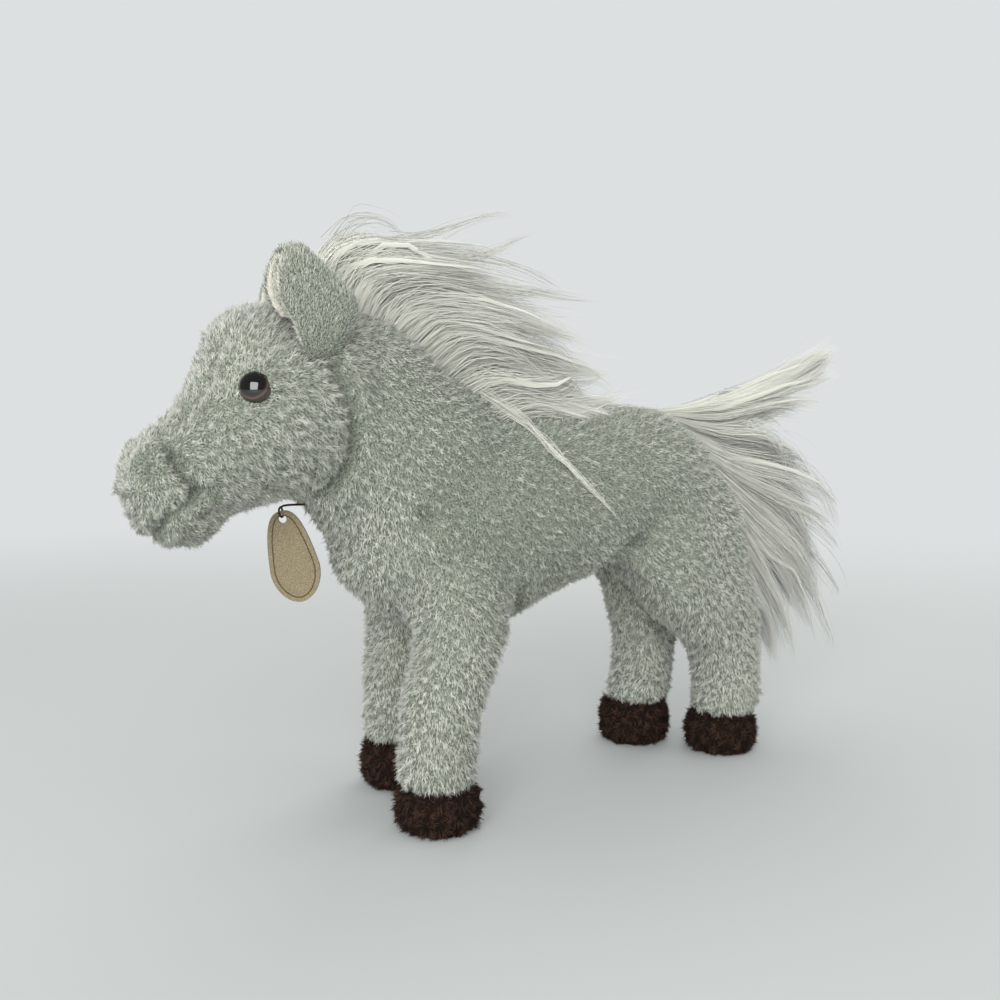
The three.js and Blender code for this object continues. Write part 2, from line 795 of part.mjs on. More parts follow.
// Hang tag: drop-shaped leaves, punched near the top, on a thread from the throat.
const throatShare = 0.45;
const throat = neck.surface(0, -Math.PI / 2).lerp(neck.surface(1, -Math.PI / 2), throatShare);
const tagPivot = throat.clone().add(new THREE.Vector3(-tagReach, 0, -tagDrop));
const tagFace = new THREE.Vector3(-Math.sin(tagAngle), -Math.cos(tagAngle), 0);
const tagAcross = new THREE.Vector3().crossVectors(upward, tagFace);

function tagLeaf() {
  const outline = new THREE.Shape();
  const half = tagWidth / 2;
  const top = tagHoleInset;
  const belly = top - tagLength * 0.64;
  const low = top - tagLength;
  const neckHalf = half * 0.5;
  outline.moveTo(0, top);
  outline.bezierCurveTo(neckHalf, top, half * 0.8, top - tagLength * 0.12, half, belly);
  outline.bezierCurveTo(half, belly - tagLength * 0.2, neckHalf, low, 0, low);
  outline.bezierCurveTo(-neckHalf, low, -half, belly - tagLength * 0.2, -half, belly);
  outline.bezierCurveTo(-half * 0.8, top - tagLength * 0.12, -neckHalf, top, 0, top);
  const hole = new THREE.Path();
  hole.absarc(0, 0, tagHole / 2, 0, 2 * Math.PI);
  outline.holes.push(hole);
  return new THREE.ExtrudeGeometry(outline, { depth: tagThickness, bevelEnabled: false, curveSegments: 9 });
}

// The leaf is drawn in X and Y, stands up, and hangs a little askew, with the top of its hole
// over the thread.
const tagHang = (threadDiameter - tagHole) / 2 + threadPlay;
const tagUp = upward.clone().applyAxisAngle(tagFace, tagTiltAngle);

function tagFrame(offset) {
  const frame = new THREE.Group();
  const side = tagAcross.clone().applyAxisAngle(tagFace, tagTiltAngle);
  frame.quaternion.setFromRotationMatrix(new THREE.Matrix4().makeBasis(side, tagUp, tagFace));
  frame.position.copy(tagPivot).addScaledVector(tagFace, offset).addScaledVector(tagUp, tagHang);
  return frame;
}

// The thread leaves the throat, goes round the top of the leaves and straight through both holes.
function loopForm() {
  const at = (lengthwise, up, out) =>
    tagPivot
      .clone()
      .addScaledVector(tagAcross, lengthwise)
      .addScaledVector(tagUp, up)
      .addScaledVector(tagFace, out);
  const spread = threadDiameter * 0.65;
  const overTop = tagHoleInset + threadDiameter;
  const strand = (way) => [
    throat.clone().add(new THREE.Vector3(threadDiameter * 3, -way * spread, 0)),
    throat.clone().add(new THREE.Vector3(0, -way * spread, 0)),
    at(spread, overTop, (way * loopWidth) / 4),
    at(0, tagHoleInset * 0.6, (way * loopWidth) / 2),
    at(0, 0, way * (tagThickness + threadDiameter)),
  ];
  const path = new THREE.CatmullRomCurve3([...strand(-1), tagPivot, ...strand(1).reverse()]);
  const section = new THREE.Shape();
  section.absarc(0, 0, threadDiameter / 2, 0, 2 * Math.PI);
  return new THREE.ExtrudeGeometry(section, { steps: 40, curveSegments: 3, extrudePath: path });
}

// Assembly: each soft piece is cut by the larger ones that it is sewn to.

const horse = new THREE.Group();

function addPiece(name, geometry, finish, frame) {
  const material = new THREE.MeshStandardMaterial(finish);
  const mesh = new THREE.Mesh(geometry, material);
  mesh.name = name;
  (frame ?? horse).add(mesh);
  if (frame) horse.add(frame);
}

const cutBy = (solid, cutters) => cutters.reduce((rest, cutter) => rest.subtract(cutter), solid);

const torsoClear = clearOf(torso.geometry);
const headClear = clearOf(head.geometry);
const neckClear = clearOf(neck.geometry);
const legRooms = Object.values(legs).map((leg) => {
  const limits = turnedRoom(legForm(leg), leg.pivot, across, [-legSwingAngle, legSwingAngle]);
  return solidOf(legForm(leg, legSwingAngle)).add(limits);
});
const nods = [-nodSwingAngle, -nodSwingAngle / 2, 0, nodSwingAngle / 2, nodSwingAngle];
const headRoom = solidOf(headSocket()).add(turnedRoom(head.geometry, nodAxis, across, nods));

addPiece("torso", geometryOf(mainBody(cutBy(solidOf(torso.geometry), legRooms))), plush);
const neckSolid = cutBy(solidOf(neck.geometry), [torsoClear, headRoom, ...legRooms]);
addPiece("neck", geometryOf(mainBody(neckSolid)), plush);

const eyeRoom = Object.values(eyes).flatMap((frame) => [
  clearOf(placedIn(frame, eyeForm())),
  clearOf(placedIn(frame, washerForm())),
]);
addPiece("head", geometryOf(mainBody(cutBy(solidOf(head.geometry), eyeRoom))), plush);
const muzzleSolid = mainBody(solidOf(muzzle.geometry).subtract(headClear));
addPiece("muzzle", geometryOf(muzzleSolid), plush);
const chinSolid = cutBy(solidOf(chin.geometry), [headClear, clearOf(muzzle.geometry)]);
addPiece("chin", geometryOf(mainBody(chinSolid)), plush);

const neckPoses = [-nodSwingAngle, 0, nodSwingAngle].map((nod) =>
  turned(neck.geometry, nodAxis, across, nod),
);
const earSwings = [-earSwingAngle, 0, earSwingAngle];
for (const [side, { outer, inner, axis, pivot }] of Object.entries(ears)) {
  const rooms = [head.geometry, ...neckPoses].map((near) => turnedRoom(near, pivot, axis, earSwings));
  addPiece(`${side}_ear`, geometryOf(mainBody(cutBy(outer, rooms))), plush);
  addPiece(`${side}_ear_lining`, geometryOf(mainBody(cutBy(inner, rooms))), paleLining);
}

for (const [side, frame] of Object.entries(eyes)) {
  addPiece(`${side}_eye`, eyeForm(), glossyEye, frame);
  addPiece(`${side}_eye_washer`, washerForm(), nylon, frame);
}

for (const [corner, leg] of Object.entries(legs)) {
  addPiece(`${corner}_leg`, legForm(leg), plush);
  const frame = new THREE.Group();
  frame.position.copy(leg.sole);
  frame.rotation.x = Math.PI / 2;
  addPiece(`${corner}_hoof`, hoofForm(), darkPlush, frame);
}

const maneSolid = joined([ridgeForm(), ...maneLockShares.map(maneLock)]);
addPiece("mane", geometryOf(mainBody(cutBy(maneSolid, [neckClear, torsoClear, headRoom]))), longFibre);

const liftRoom = turnedRoom(torso.geometry, tailPivot, across, [0, tailSwingAngle / 2, tailSwingAngle]);
addPiece("tail", geometryOf(mainBody(joined(tailForms()).subtract(liftRoom))), longFibre);

addPiece("hang_tag", tagLeaf(), suedeCard, tagFrame(seamGap / 2));
addPiece("hang_tag_back", tagLeaf(), suedeCard, tagFrame(-tagThickness - seamGap / 2));
addPiece("tag_loop", geometryOf(mainBody(solidOf(loopForm()).subtract(neckClear))), thread);

// The origin is on the floor, under the middle of the whole toy.
horse.updateMatrixWorld(true);
const middle = new THREE.Box3().setFromObject(horse).getCenter(new THREE.Vector3());
horse.position.set(-middle.x, -middle.y, 0);

export default horse;
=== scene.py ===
# %% [markdown]
# # A plush horse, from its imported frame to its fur
#
# The real toy is sewn from knitted pile cloth, stuffed with fibre, and finished with hair for
# the mane and tail, two plastic eyes and a card tag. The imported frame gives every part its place
# and size. This lesson puts the cloth, the pile and the hair on that frame, in metres.

# %% Load the frame
import json
import math

import bmesh
import bpy
import numpy as np
from mathutils import Matrix, Vector


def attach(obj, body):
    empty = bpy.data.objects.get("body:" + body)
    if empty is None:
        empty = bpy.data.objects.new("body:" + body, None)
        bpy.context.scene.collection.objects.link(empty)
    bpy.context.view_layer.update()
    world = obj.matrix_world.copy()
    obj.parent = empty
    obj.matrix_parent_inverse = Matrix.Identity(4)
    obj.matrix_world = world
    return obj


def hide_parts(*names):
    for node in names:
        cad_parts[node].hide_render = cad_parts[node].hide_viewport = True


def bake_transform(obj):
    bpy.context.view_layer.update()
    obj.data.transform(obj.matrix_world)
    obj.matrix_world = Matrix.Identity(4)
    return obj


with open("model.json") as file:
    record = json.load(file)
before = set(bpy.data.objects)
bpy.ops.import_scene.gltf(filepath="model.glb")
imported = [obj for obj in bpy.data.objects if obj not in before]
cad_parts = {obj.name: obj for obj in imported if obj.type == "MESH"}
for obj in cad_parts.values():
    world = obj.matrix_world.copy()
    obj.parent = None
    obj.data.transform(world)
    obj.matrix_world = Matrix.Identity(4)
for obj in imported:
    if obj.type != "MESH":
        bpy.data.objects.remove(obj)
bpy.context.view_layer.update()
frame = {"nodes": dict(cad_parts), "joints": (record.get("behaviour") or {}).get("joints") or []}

MM = 0.001

# %% [markdown]
# ## Camera
#
# The picture was taken from the toy's near side, a little ahead of its nose and just above its
# back. The camera stands 34 degrees off the side view and looks down by 5 degrees, with a lens
# a little longer than a wide one.

# %% Camera
def in_scene(name, data):
    thing = bpy.data.objects.new(name, data)
    bpy.context.scene.collection.objects.link(thing)
    return thing


camera = in_scene("camera", bpy.data.cameras.new("camera"))
camera_turn, camera_dip = math.radians(34), math.radians(5)
camera_aim = Vector((
    math.sin(camera_turn) * math.cos(camera_dip),
    math.cos(camera_turn) * math.cos(camera_dip),
    -math.sin(camera_dip),
))
camera.location = (-0.29114, -0.3945, 0.1700)
camera.rotation_euler = camera_aim.to_track_quat("-Z", "Y").to_euler()
camera.data.sensor_fit = "HORIZONTAL"
camera.data.sensor_width = 36
camera.data.lens = 38.95
camera.data.clip_start = 0.01
bpy.context.scene.camera = camera
bpy.context.scene.view_settings.view_transform = "Standard"
print("camera looks along", [round(x, 3) for x in camera_aim])

# %% [markdown]
# ## Small helpers for materials
#
# A colour is written as the hex value a painter would pick on the screen, and Blender's shaders
# want it linear. A node is added with its settings and with what goes into each socket, either
# a value or another node's output. The other helpers are short names for what every finish
# needs: a noise of a real size, a value remapped, two colours mixed, a ramp, and the shader.

# %% Colour and node helpers
def linear(code):
    channels = [int(code[i : i + 2], 16) / 255 for i in (1, 3, 5)]
    return [c / 12.92 if c < 0.04045 else ((c + 0.055) / 1.055) ** 2.4 for c in channels] + [1]


def add(tree, kind, inputs=None, **settings):
    node = tree.nodes.new(kind)
    for key, value in settings.items():
        setattr(node, key, value)
    for socket, value in (inputs or {}).items():
        if isinstance(value, bpy.types.NodeSocket):
            tree.links.new(value, node.inputs[socket])
        else:
            node.inputs[socket].default_value = value
    return node


def new_material(name):
    material = bpy.data.materials.new(name)
    material.use_nodes = True
    material.node_tree.nodes.clear()
    return material, material.node_tree


def carried(tree, name):
    """The value that each point of a piece carries under a name."""
    return add(tree, "ShaderNodeAttribute", attribute_name=name).outputs["Fac"]


def noise(tree, size, detail):
    """A noise in the piece's own space, with spots of about a size."""
    place = add(tree, "ShaderNodeTexCoord").outputs["Object"]
    inputs = {"Vector": place, "Scale": 1 / size, "Detail": detail}
    return add(tree, "ShaderNodeTexNoise", inputs).outputs["Fac"]


def remap(tree, value, low, high, to=(0, 1), kind="LINEAR"):
    """A value between low and high turned into one of another range."""
    inputs = {"Value": value, "From Min": low, "From Max": high, "To Min": to[0], "To Max": to[1]}
    return add(tree, "ShaderNodeMapRange", inputs, interpolation_type=kind).outputs[0]


def dye(tree, factor, a, b):
    """One colour going over into another. Each is a hex value or an output."""
    a, b = (linear(colour) if isinstance(colour, str) else colour for colour in (a, b))
    inputs = {"Factor": factor, "A": a, "B": b}
    return add(tree, "ShaderNodeMix", inputs, data_type="RGBA").outputs["Result"]


def ramp(tree, value, stops):
    """A colour for each value, from stops of a place and a hex value."""
    node = add(tree, "ShaderNodeValToRGB", {"Fac": value})
    elements = node.color_ramp.elements
    while len(elements) < len(stops):
        elements.new(0.5)
    for element, (place, code) in zip(elements, stops):
        element.position = place
        element.color = linear(code)
    return node.outputs["Color"]


def bumped(tree, height, distance):
    inputs = {"Height": height, "Distance": distance}
    return add(tree, "ShaderNodeBump", inputs).outputs[0]


def surface(tree, colour, roughness, specular=0.2, **more):
    """The one shader of a finish and its output. More sockets come with _ for a blank."""
    inputs = {"Base Color": colour, "Roughness": roughness, "Specular IOR Level": specular}
    inputs |= {name.replace("_", " "): value for name, value in more.items()}
    shader = add(tree, "ShaderNodeBsdfPrincipled", inputs)
    add(tree, "ShaderNodeOutputMaterial", {"Surface": shader.outputs[0]})


def seen_straight(tree):
    """1 for rays that come straight from the camera, or through something clear."""
    path = add(tree, "ShaderNodeLightPath").outputs
    inputs = {0: path["Is Camera Ray"], 1: path["Is Transmission Ray"]}
    return add(tree, "ShaderNodeMath", inputs, operation="MAXIMUM").outputs[0]


# %% [markdown]
# ## Floor, sky and lamps
#
# The toy is shown on a plain pale floor in soft daylight. The sky light is even, so a colour
# shows about as it is written. One large lamp from the upper left gives the soft shade under
# the belly, and a weak one opens the far side. Far from the toy the floor fades to the tone of
# the backdrop, for the camera only. Gloss mirrors a dim room, so the eyes stay dark round the
# bright mark of the lamp.

# %% Floor
bpy.ops.mesh.primitive_plane_add(size=12, location=(0, 0, 0))
floor = bpy.context.object
floor.name = "floor"

backdrop_tone = linear("#DDE0E1")
floor_finish, tree = new_material("matte_pale_paper")
place = add(tree, "ShaderNodeTexCoord")
distance = add(tree, "ShaderNodeVectorMath", {0: place.outputs["Object"]}, operation="LENGTH")
far = remap(tree, distance.outputs["Value"], 0.35, 1.2, kind="SMOOTHSTEP")
fade = add(tree, "ShaderNodeMath", {0: seen_straight(tree), 1: far}, operation="MULTIPLY")
paper = add(
    tree,
    "ShaderNodeBsdfPrincipled",
    {"Base Color": linear("#C0C4C4"), "Roughness": 0.9, "Specular IOR Level": 0.1},
)
distant = add(tree, "ShaderNodeEmission", {"Color": backdrop_tone})
shaders = {0: fade.outputs[0], 1: paper.outputs[0], 2: distant.outputs[0]}
mix = add(tree, "ShaderNodeMixShader", shaders)
add(tree, "ShaderNodeOutputMaterial", {"Surface": mix.outputs[0]})
floor.data.materials.append(floor_finish)

# %% Sky and lamps
world = bpy.data.worlds.new("soft_daylight")
bpy.context.scene.world = world
world.use_nodes = True
tree = world.node_tree
tree.nodes.clear()
daylight = linear("#F7F8F6")
sky = add(tree, "ShaderNodeBackground", {"Color": daylight, "Strength": 0.9})
room = add(tree, "ShaderNodeBackground", {"Color": daylight, "Strength": 0.22})
glossy = add(tree, "ShaderNodeLightPath").outputs["Is Glossy Ray"]
around = add(tree, "ShaderNodeMixShader", {0: glossy, 1: sky.outputs[0], 2: room.outputs[0]})
backdrop = add(tree, "ShaderNodeBackground", {"Color": backdrop_tone, "Strength": 1})
shaders = {0: seen_straight(tree), 1: around.outputs[0], 2: backdrop.outputs[0]}
mix = add(tree, "ShaderNodeMixShader", shaders)
add(tree, "ShaderNodeOutputWorld", {"Surface": mix.outputs[0]})


def soft_lamp(name, place, aim, size, watts):
    lamp = in_scene(name, bpy.data.lights.new(name, "AREA"))
    lamp.location = place
    lamp.rotation_euler = (Vector(aim) - Vector(place)).to_track_quat("-Z", "Y").to_euler()
    lamp.data.shape = "SQUARE"
    lamp.data.size = size
    lamp.data.energy = watts
    return lamp


soft_lamp("window", (-0.95, -1.05, 0.6), (0, 0, 0.1), 1.0, 17.5)
soft_lamp("fill", (0.9, 0.7, 0.9), (0, 0, 0.1), 0.9, 5)

# %% [markdown]
# ## Helpers for meshes
#
# A frame node's mesh is loose triangles, so a merged copy of it is the start of each cloth
# piece. Modifiers are applied as soon as they are added. Points go in and out of a mesh as one
# array, which keeps the sculpting steps short.

# %% Mesh helpers
def only(piece):
    bpy.ops.object.select_all(action="DESELECT")
    piece.select_set(True)
    bpy.context.view_layer.objects.active = piece
    return piece


def merged_copy(name, nodes):
    shape = bmesh.new()
    for node in nodes:
        shape.from_mesh(frame["nodes"][node].data)
    bmesh.ops.remove_doubles(shape, verts=shape.verts, dist=0.005 * MM)
    mesh = bpy.data.meshes.new(name)
    shape.to_mesh(mesh)
    shape.free()
    return in_scene(name, mesh)


def duplicate(piece, name):
    twin = in_scene(name, piece.data.copy())
    twin.data.name = name
    return twin


def modify(piece, kind, **settings):
    only(piece)
    modifier = piece.modifiers.new(kind.lower(), kind)
    for key, value in settings.items():
        setattr(modifier, key, value)
    bpy.ops.object.modifier_apply(modifier=modifier.name)
    return piece


def rows_of(items, key):
    rows = np.empty(len(items) * 3)
    items.foreach_get(key, rows)
    return rows.reshape(-1, 3)


def points_of(piece):
    return rows_of(piece.data.vertices, "co")


def normals_of(piece):
    return rows_of(piece.data.vertex_normals, "vector")


def move_points(piece, points):
    piece.data.vertices.foreach_set("co", points.ravel())
    piece.data.update()


def give(piece, name, values, kind="FLOAT", key="value"):
    """Values for the points of a piece, kept under a name."""
    layer = piece.data.attributes.new(name, kind, "POINT")
    layer.data.foreach_set(key, values.astype(np.float32).ravel())


def unit(vectors):
    return vectors / np.maximum(np.linalg.norm(vectors, axis=-1, keepdims=True), 1e-12)


def cloth_from(name, node, voxel, rounds, backing):
    """A piece of cloth over one frame node, remeshed, smoothed and finished."""
    cloth = merged_copy(name, [node])
    modify(cloth, "REMESH", mode="VOXEL", voxel_size=voxel)
    modify(cloth, "SMOOTH", factor=0.5, iterations=rounds)
    bpy.ops.object.shade_smooth()
    cloth.data.materials.append(backing)
    return cloth


# %% [markdown]
# ## The stuffed cloth
#
# Torso, neck, head, muzzle, chin and legs are sewn together, and the cloth runs from one to the
# next. The copies are swollen until they overlap, remeshed as one skin, drawn back to size and
# smoothed, which rounds each joint as filling does.

# %% One skin from the stuffed forms
stuffed = ["torso", "neck", "head", "muzzle", "chin"]
corners = ["left_front", "right_front", "left_hind", "right_hind"]
skin = merged_copy("skin", stuffed + [f"{corner}_leg" for corner in corners])
swelling, drawn_back = 2.0 * MM, 0.9
joining_voxel, skin_voxel = 2.2 * MM, 1.6 * MM
modify(skin, "DISPLACE", strength=swelling, mid_level=0)
modify(skin, "REMESH", mode="VOXEL", voxel_size=joining_voxel)
modify(skin, "SMOOTH", factor=0.5, iterations=6)
modify(skin, "DISPLACE", strength=-swelling * drawn_back, mid_level=0)
modify(skin, "REMESH", mode="VOXEL", voxel_size=skin_voxel)
modify(skin, "SMOOTH", factor=0.5, iterations=10)
print("skin:", len(skin.data.polygons), "faces")

# %% [markdown]
# ## The tucked flank
#
# Between the belly and the thigh the cloth is drawn up, so the belly line rises towards the
# hind leg and the thigh starts at a notch. The skin is lifted there by a share that fades
# towards the back and towards the leg.

# %% Lift of the belly line, in mm at places along X
tuck = np.array([
    (-40, 0), (-28, 2), (-7, 8), (10, 13), (23, 18), (30, 19), (36, 12), (42, 5), (52, 0),
]) * MM
skin_points = points_of(skin)
lift = np.interp(skin_points[:, 0], tuck[:, 0], tuck[:, 1])
heights = skin_points[:, 2] / MM
lift *= np.clip((130 - heights) / 50, 0, 1) * np.clip((heights - 52) / 20, 0, 1)
skin_points[:, 2] += lift
print("belly line lifted by up to", round(lift.max() / MM, 1), "mm")

# %% [markdown]
# ## Small pushes
#
# The filling bulges a little more in some places than the plain forms do. Each row pushes the
# skin along X on one side or on both: by a share at places along X, times a length at heights.

# %% Small pushes along X: name, side, share at places along X, push in mm at heights
pushes = [
    (
        "far thigh stands straight", 1,
        [(20, 0), (40, 1), (54, 1), (98, 0)],
        [(20, 0), (38, 6), (60, 11), (80, 17), (88, 18), (94, 12), (100, 5), (106, 0)],
    ),
    (
        "back of the near fore leg", -1,
        [(-78, 0), (-50, 1), (-34, 1), (-20, 0)],
        [(45, 0), (60, 4), (75, 6), (85, 3), (92, 0)],
    ),
    (
        "front of the chest", 0,
        [(-114, 0), (-100, 1), (-88, 1), (-68, 0)],
        [(56, 0), (70, 4), (90, 4), (104, 0)],
    ),
]
for name, side, along_x, heights in pushes:
    along_x, heights = np.array(along_x) * MM, np.array(heights) * MM
    share = np.interp(skin_points[:, 0], along_x[:, 0], along_x[:, 1] / MM)
    push = np.interp(skin_points[:, 2], heights[:, 0], heights[:, 1])
    room = np.clip((side * skin_points[:, 1] / MM - 2) / 8, 0, 1) if side else 1
    skin_points[:, 0] += share * push * room
    print(name, "pushed by up to", round(heights[:, 1].max() / MM, 1), "mm")

# %% [markdown]
# ## Cuffs
#
# The leg's plush ends in a cuff that hangs over the hoof's seam, lower on the near legs. The
# lowest part of each leg is drawn down, and the hooves get the same lengths below.

# %% Cuffs: each leg's plush hangs a little over its hoof, in mm
cuffs = {"left_front": 5.0, "right_front": 1.5, "left_hind": 4.0, "right_hind": 1.5}


def signs(corner):
    """Which way a leg lies from the toy's middle: 1 ahead or -1 behind, 1 left or -1 right."""
    return (1 if corner.endswith("front") else -1), (1 if corner.startswith("left") else -1)


def in_quarter(points, corner):
    ahead, aside = signs(corner)
    return (points[:, 1] * aside < 0) & (points[:, 0] * ahead < 0)


cuff_from, cuff_fade = 38 * MM, 10 * MM
for corner, cuff in cuffs.items():
    low = np.clip((cuff_from - skin_points[:, 2]) / cuff_fade, 0, 1)
    skin_points[:, 2] -= in_quarter(skin_points, corner) * low * cuff * MM
    print(corner, "cuff", cuff, "mm")
move_points(skin, skin_points)
modify(skin, "SMOOTH", factor=0.5, iterations=6)

# %% [markdown]
# ## Seams and dents
#
# A seam holds the cloth down and the filling swells beside it. Each seam is a line of points on
# the near side, and the skin is drawn in along it and on its mirror image. A single point makes
# a dent, as at the shoulder, and a depth below zero a swelling, as the eyelid is. Along a seam the
# pile is pressed shorter and its threads are drawn darker, as painted shade in the crease; a press
# below zero draws them paler instead, as a painted highlight on the nostril's rim.

# %% Seams drawn into the skin
def near_line(points, line):
    """How far each point is from a line of points."""
    line = np.atleast_2d(np.asarray(line, float)) * MM
    if len(line) == 1:
        return np.linalg.norm(points - line[0], axis=1)
    best = np.full(len(points), np.inf)
    for a, b in zip(line[:-1], line[1:]):
        along = np.clip((points - a) @ (b - a) / ((b - a) @ (b - a)), 0, 1)
        best = np.minimum(best, np.linalg.norm(points - a - along[:, None] * (b - a), axis=1))
    return best


# Name, depth and width in mm, how far the pile is pressed down and its threads drawn darker as
# painted shade (below zero: paler, as a painted highlight), points of the near side in mm.
seams = [
    (
        "muzzle top", 2.4, 2.2, 0.6,
        [(-172.3, 0, 155.6), (-174.6, -8, 155.4), (-175.6, -15.3, 154.4)],
    ),
    (
        "muzzle side", 4.6, 2.0, 1.2,
        [
            (-175.6, -15.3, 154.4), (-175, -17.6, 151.7), (-172.3, -19.9, 146.8),
            (-169.8, -20.4, 142.6), (-166.4, -19.6, 139.2),
        ],
    ),
    (
        "mouth", 2.8, 2.2, 0.9,
        [
            (-176.5, 0, 123.4), (-178.4, -9.1, 125.1), (-177.4, -15.5, 129.2),
            (-173.9, -19.2, 133.5), (-169.7, -19.8, 136.9),
        ],
    ),
    (
        "nose", 1.8, 2.8, 0.5,
        [
            (-154.1, -11, 192.1), (-157.1, -11.7, 184.5), (-159.5, -12.8, 178),
            (-166, -10.8, 168.3), (-174.2, -13.2, 157.8),
        ],
    ),
    ("nostril", 5.0, 2.5, 1.2, [(-183.0, -13.4, 149.2), (-183.8, -13.6, 145.2)]),
    ("nostril rim", -1.2, 2.4, -0.7, [(-185.0, -12.6, 140.9)]),
    ("eye corners", -1.2, 3.0, 0.0, [(-142.4, -32.9, 176.6)]),
    ("eye corners", -1.2, 3.0, 0.0, [(-155.0, -25.1, 176.4)]),
    (
        "eyelid", -2.6, 2.2, 0.0,
        [
            (-143.5, -32, 177.7), (-144.4, -30.4, 180.8),
            (-146.9, -28.3, 182.4), (-150, -26.6, 181.9),
        ],
    ),
    (
        "cheek", 4.0, 3.0, 0.9,
        [
            (-117.8, -29.2, 182.9), (-112.3, -30.1, 173.8), (-110.3, -29.1, 162.7),
            (-109.9, -26.3, 151.8), (-112.4, -22.6, 143.8), (-116.5, -15.4, 137.8),
        ],
    ),
    ("jaw", 1.6, 3.0, 0.4, [(-166.4, -19.6, 139.2), (-158, -24, 137), (-148, -25, 133)]),
    ("shoulder", 2.8, 4.0, 0.7, [(-80.1, -31.6, 125.9)]),
    ("flank", 4.0, 4.0, 0.8, [(14, -26, 99), (22, -30, 103), (27, -32, 107)]),
    ("haunch", 1.8, 6.0, 0.2, [(27, -32, 107), (32, -36, 114), (38, -38, 124)]),
    ("armpit", 2.8, 3.2, 0.5, [(-28.9, -18.1, 81.6), (-32.1, -25.5, 88.2), (-32.5, -29, 93)]),
    ("fore fold", 1.6, 3.0, 0.3, [(-81.5, -24, 86.6), (-80.8, -30.5, 78.8)]),
]
normals = normals_of(skin)
skin_points = points_of(skin)
drawn_in = np.zeros(len(skin_points))
pressed = np.zeros(len(skin_points))
for name, depth, width, press, line in seams:
    for aside in (1, -1):
        reach = near_line(skin_points, np.array(line) * (1, aside, 1)) / (width * MM)
        drawn_in += depth * MM * (np.exp(-(reach**2)) - 0.3 * np.exp(-((reach - 2.3) ** 2)))
        pressed += press * np.exp(-((reach * 1.1) ** 2))
    print(name, "drawn in", depth, "mm")
deepest = 4.5 * MM
move_points(skin, skin_points - normals * np.minimum(drawn_in, deepest)[:, None])
modify(skin, "SMOOTH", factor=0.4, iterations=2)
# The press shortens the pile and paints shade on its threads; below zero it paints a highlight.
give(skin, "pressed", np.clip(pressed, -0.7, 1))

# %% [markdown]
# ## Cutting the skin at the joints
#
# The head nods and the legs flex, so the one skin is cut into a body, a head and four legs, each
# closed where it is cut. The cuts lie where the moving pieces begin to bend.

# %% Cut planes
nod_axis = np.array((-0.11584, 0.0, 0.17260))
neck_way = np.array((0.81, 0.0, -0.59)) / np.linalg.norm((0.81, 0.59))
head_behind = 12 * MM
head_end = nod_axis + neck_way * head_behind
leg_top = 72 * MM


def cut(piece, place, way):
    """Keeps what lies against the way, and closes the cut."""
    only(piece)
    bpy.ops.object.mode_set(mode="EDIT")
    bpy.ops.mesh.select_all(action="SELECT")
    bpy.ops.mesh.bisect(plane_co=place, plane_no=way, use_fill=True, clear_outer=True)
    bpy.ops.object.mode_set(mode="OBJECT")
    return piece


body_plush = duplicate(skin, "body_plush")
cut(body_plush, (0, 0, leg_top), (0, 0, -1))
cut(body_plush, head_end, -neck_way)
head_plush = duplicate(skin, "head_plush")
cut(head_plush, head_end, neck_way)
legs_plush = {}
for corner in corners:
    leg = duplicate(skin, f"{corner}_leg_plush")
    cut(leg, (0, 0, leg_top), (0, 0, 1))
    ahead, aside = signs(corner)
    cut(leg, (0, 0, 0), (0, aside, 0))
    cut(leg, (0, 0, 0), (ahead, 0, 0))
    legs_plush[corner] = leg
for piece in [body_plush, head_plush, *legs_plush.values()]:
    modify(piece, "TRIANGULATE")
    only(piece)
    bpy.ops.object.shade_smooth_by_angle(angle=math.radians(70))
    print(piece.name, len(piece.data.polygons), "triangles")

# %% [markdown]
# ## The pile
#
# Each thread of pile is a slim spike that leans the way the cloth was brushed. It is closed, with
# four faces, so almost 300,000 of them stay light. Threads bunch at their tips, as brushed
# fibre does, and each carries its height along the thread and its own tone for the material.

# %% Smooth wandering fields
def wander(points, size, seed, waves=20):
    """A smooth random height for each point and its slope, with bumps about size across."""
    rng = np.random.default_rng(seed)
    ways = rng.normal(size=(waves, 3))
    pace = (2 * np.pi / size) * (rng.uniform(0.7, 1.3, (waves, 1)))
    ways *= pace / np.linalg.norm(ways, axis=1, keepdims=True)
    phase = points @ ways.T + rng.uniform(0, 2 * np.pi, waves)
    height = np.sin(phase).sum(1) / np.sqrt(waves / 2)
    slope = (np.cos(phase) @ ways) / np.sqrt(waves / 2)
    return height, slope * size / (2 * np.pi)


# %% Roots on a skin
def scatter(piece, per_mm2, seed):
    """Even random points on a piece's faces, with the smooth normal and the press at each.
    The press also carries the painted shade along the seams.
    """
    mesh = piece.data
    mesh.calc_loop_triangles()
    corners_of = np.empty(len(mesh.loop_triangles) * 3, np.int32)
    mesh.loop_triangles.foreach_get("vertices", corners_of)
    corners_of = corners_of.reshape(-1, 3)
    points, normals = points_of(piece), normals_of(piece)
    a, b, c = (points[corners_of[:, i]] for i in range(3))
    areas = np.linalg.norm(np.cross(b - a, c - a), axis=1) / 2
    reach = np.cumsum(areas)
    count = int(reach[-1] / MM**2 * per_mm2)
    rng = np.random.default_rng(seed)
    faces = np.searchsorted(reach, (np.arange(count) + rng.random(count)) / count * reach[-1])
    faces = np.minimum(faces, len(areas) - 1)
    u, v = rng.random(count), rng.random(count)
    over = u + v > 1
    u[over], v[over] = 1 - u[over], 1 - v[over]
    share = np.stack([1 - u - v, u, v], axis=1)[:, :, None]
    roots = (points[corners_of[faces]] * share).sum(1)
    ways = unit((normals[corners_of[faces]] * share).sum(1))
    press = np.zeros(len(points))
    if "pressed" in mesh.attributes:
        mesh.attributes["pressed"].data.foreach_get("value", press)
    return roots, ways, (press[corners_of[faces]] * share[:, :, 0]).sum(1)


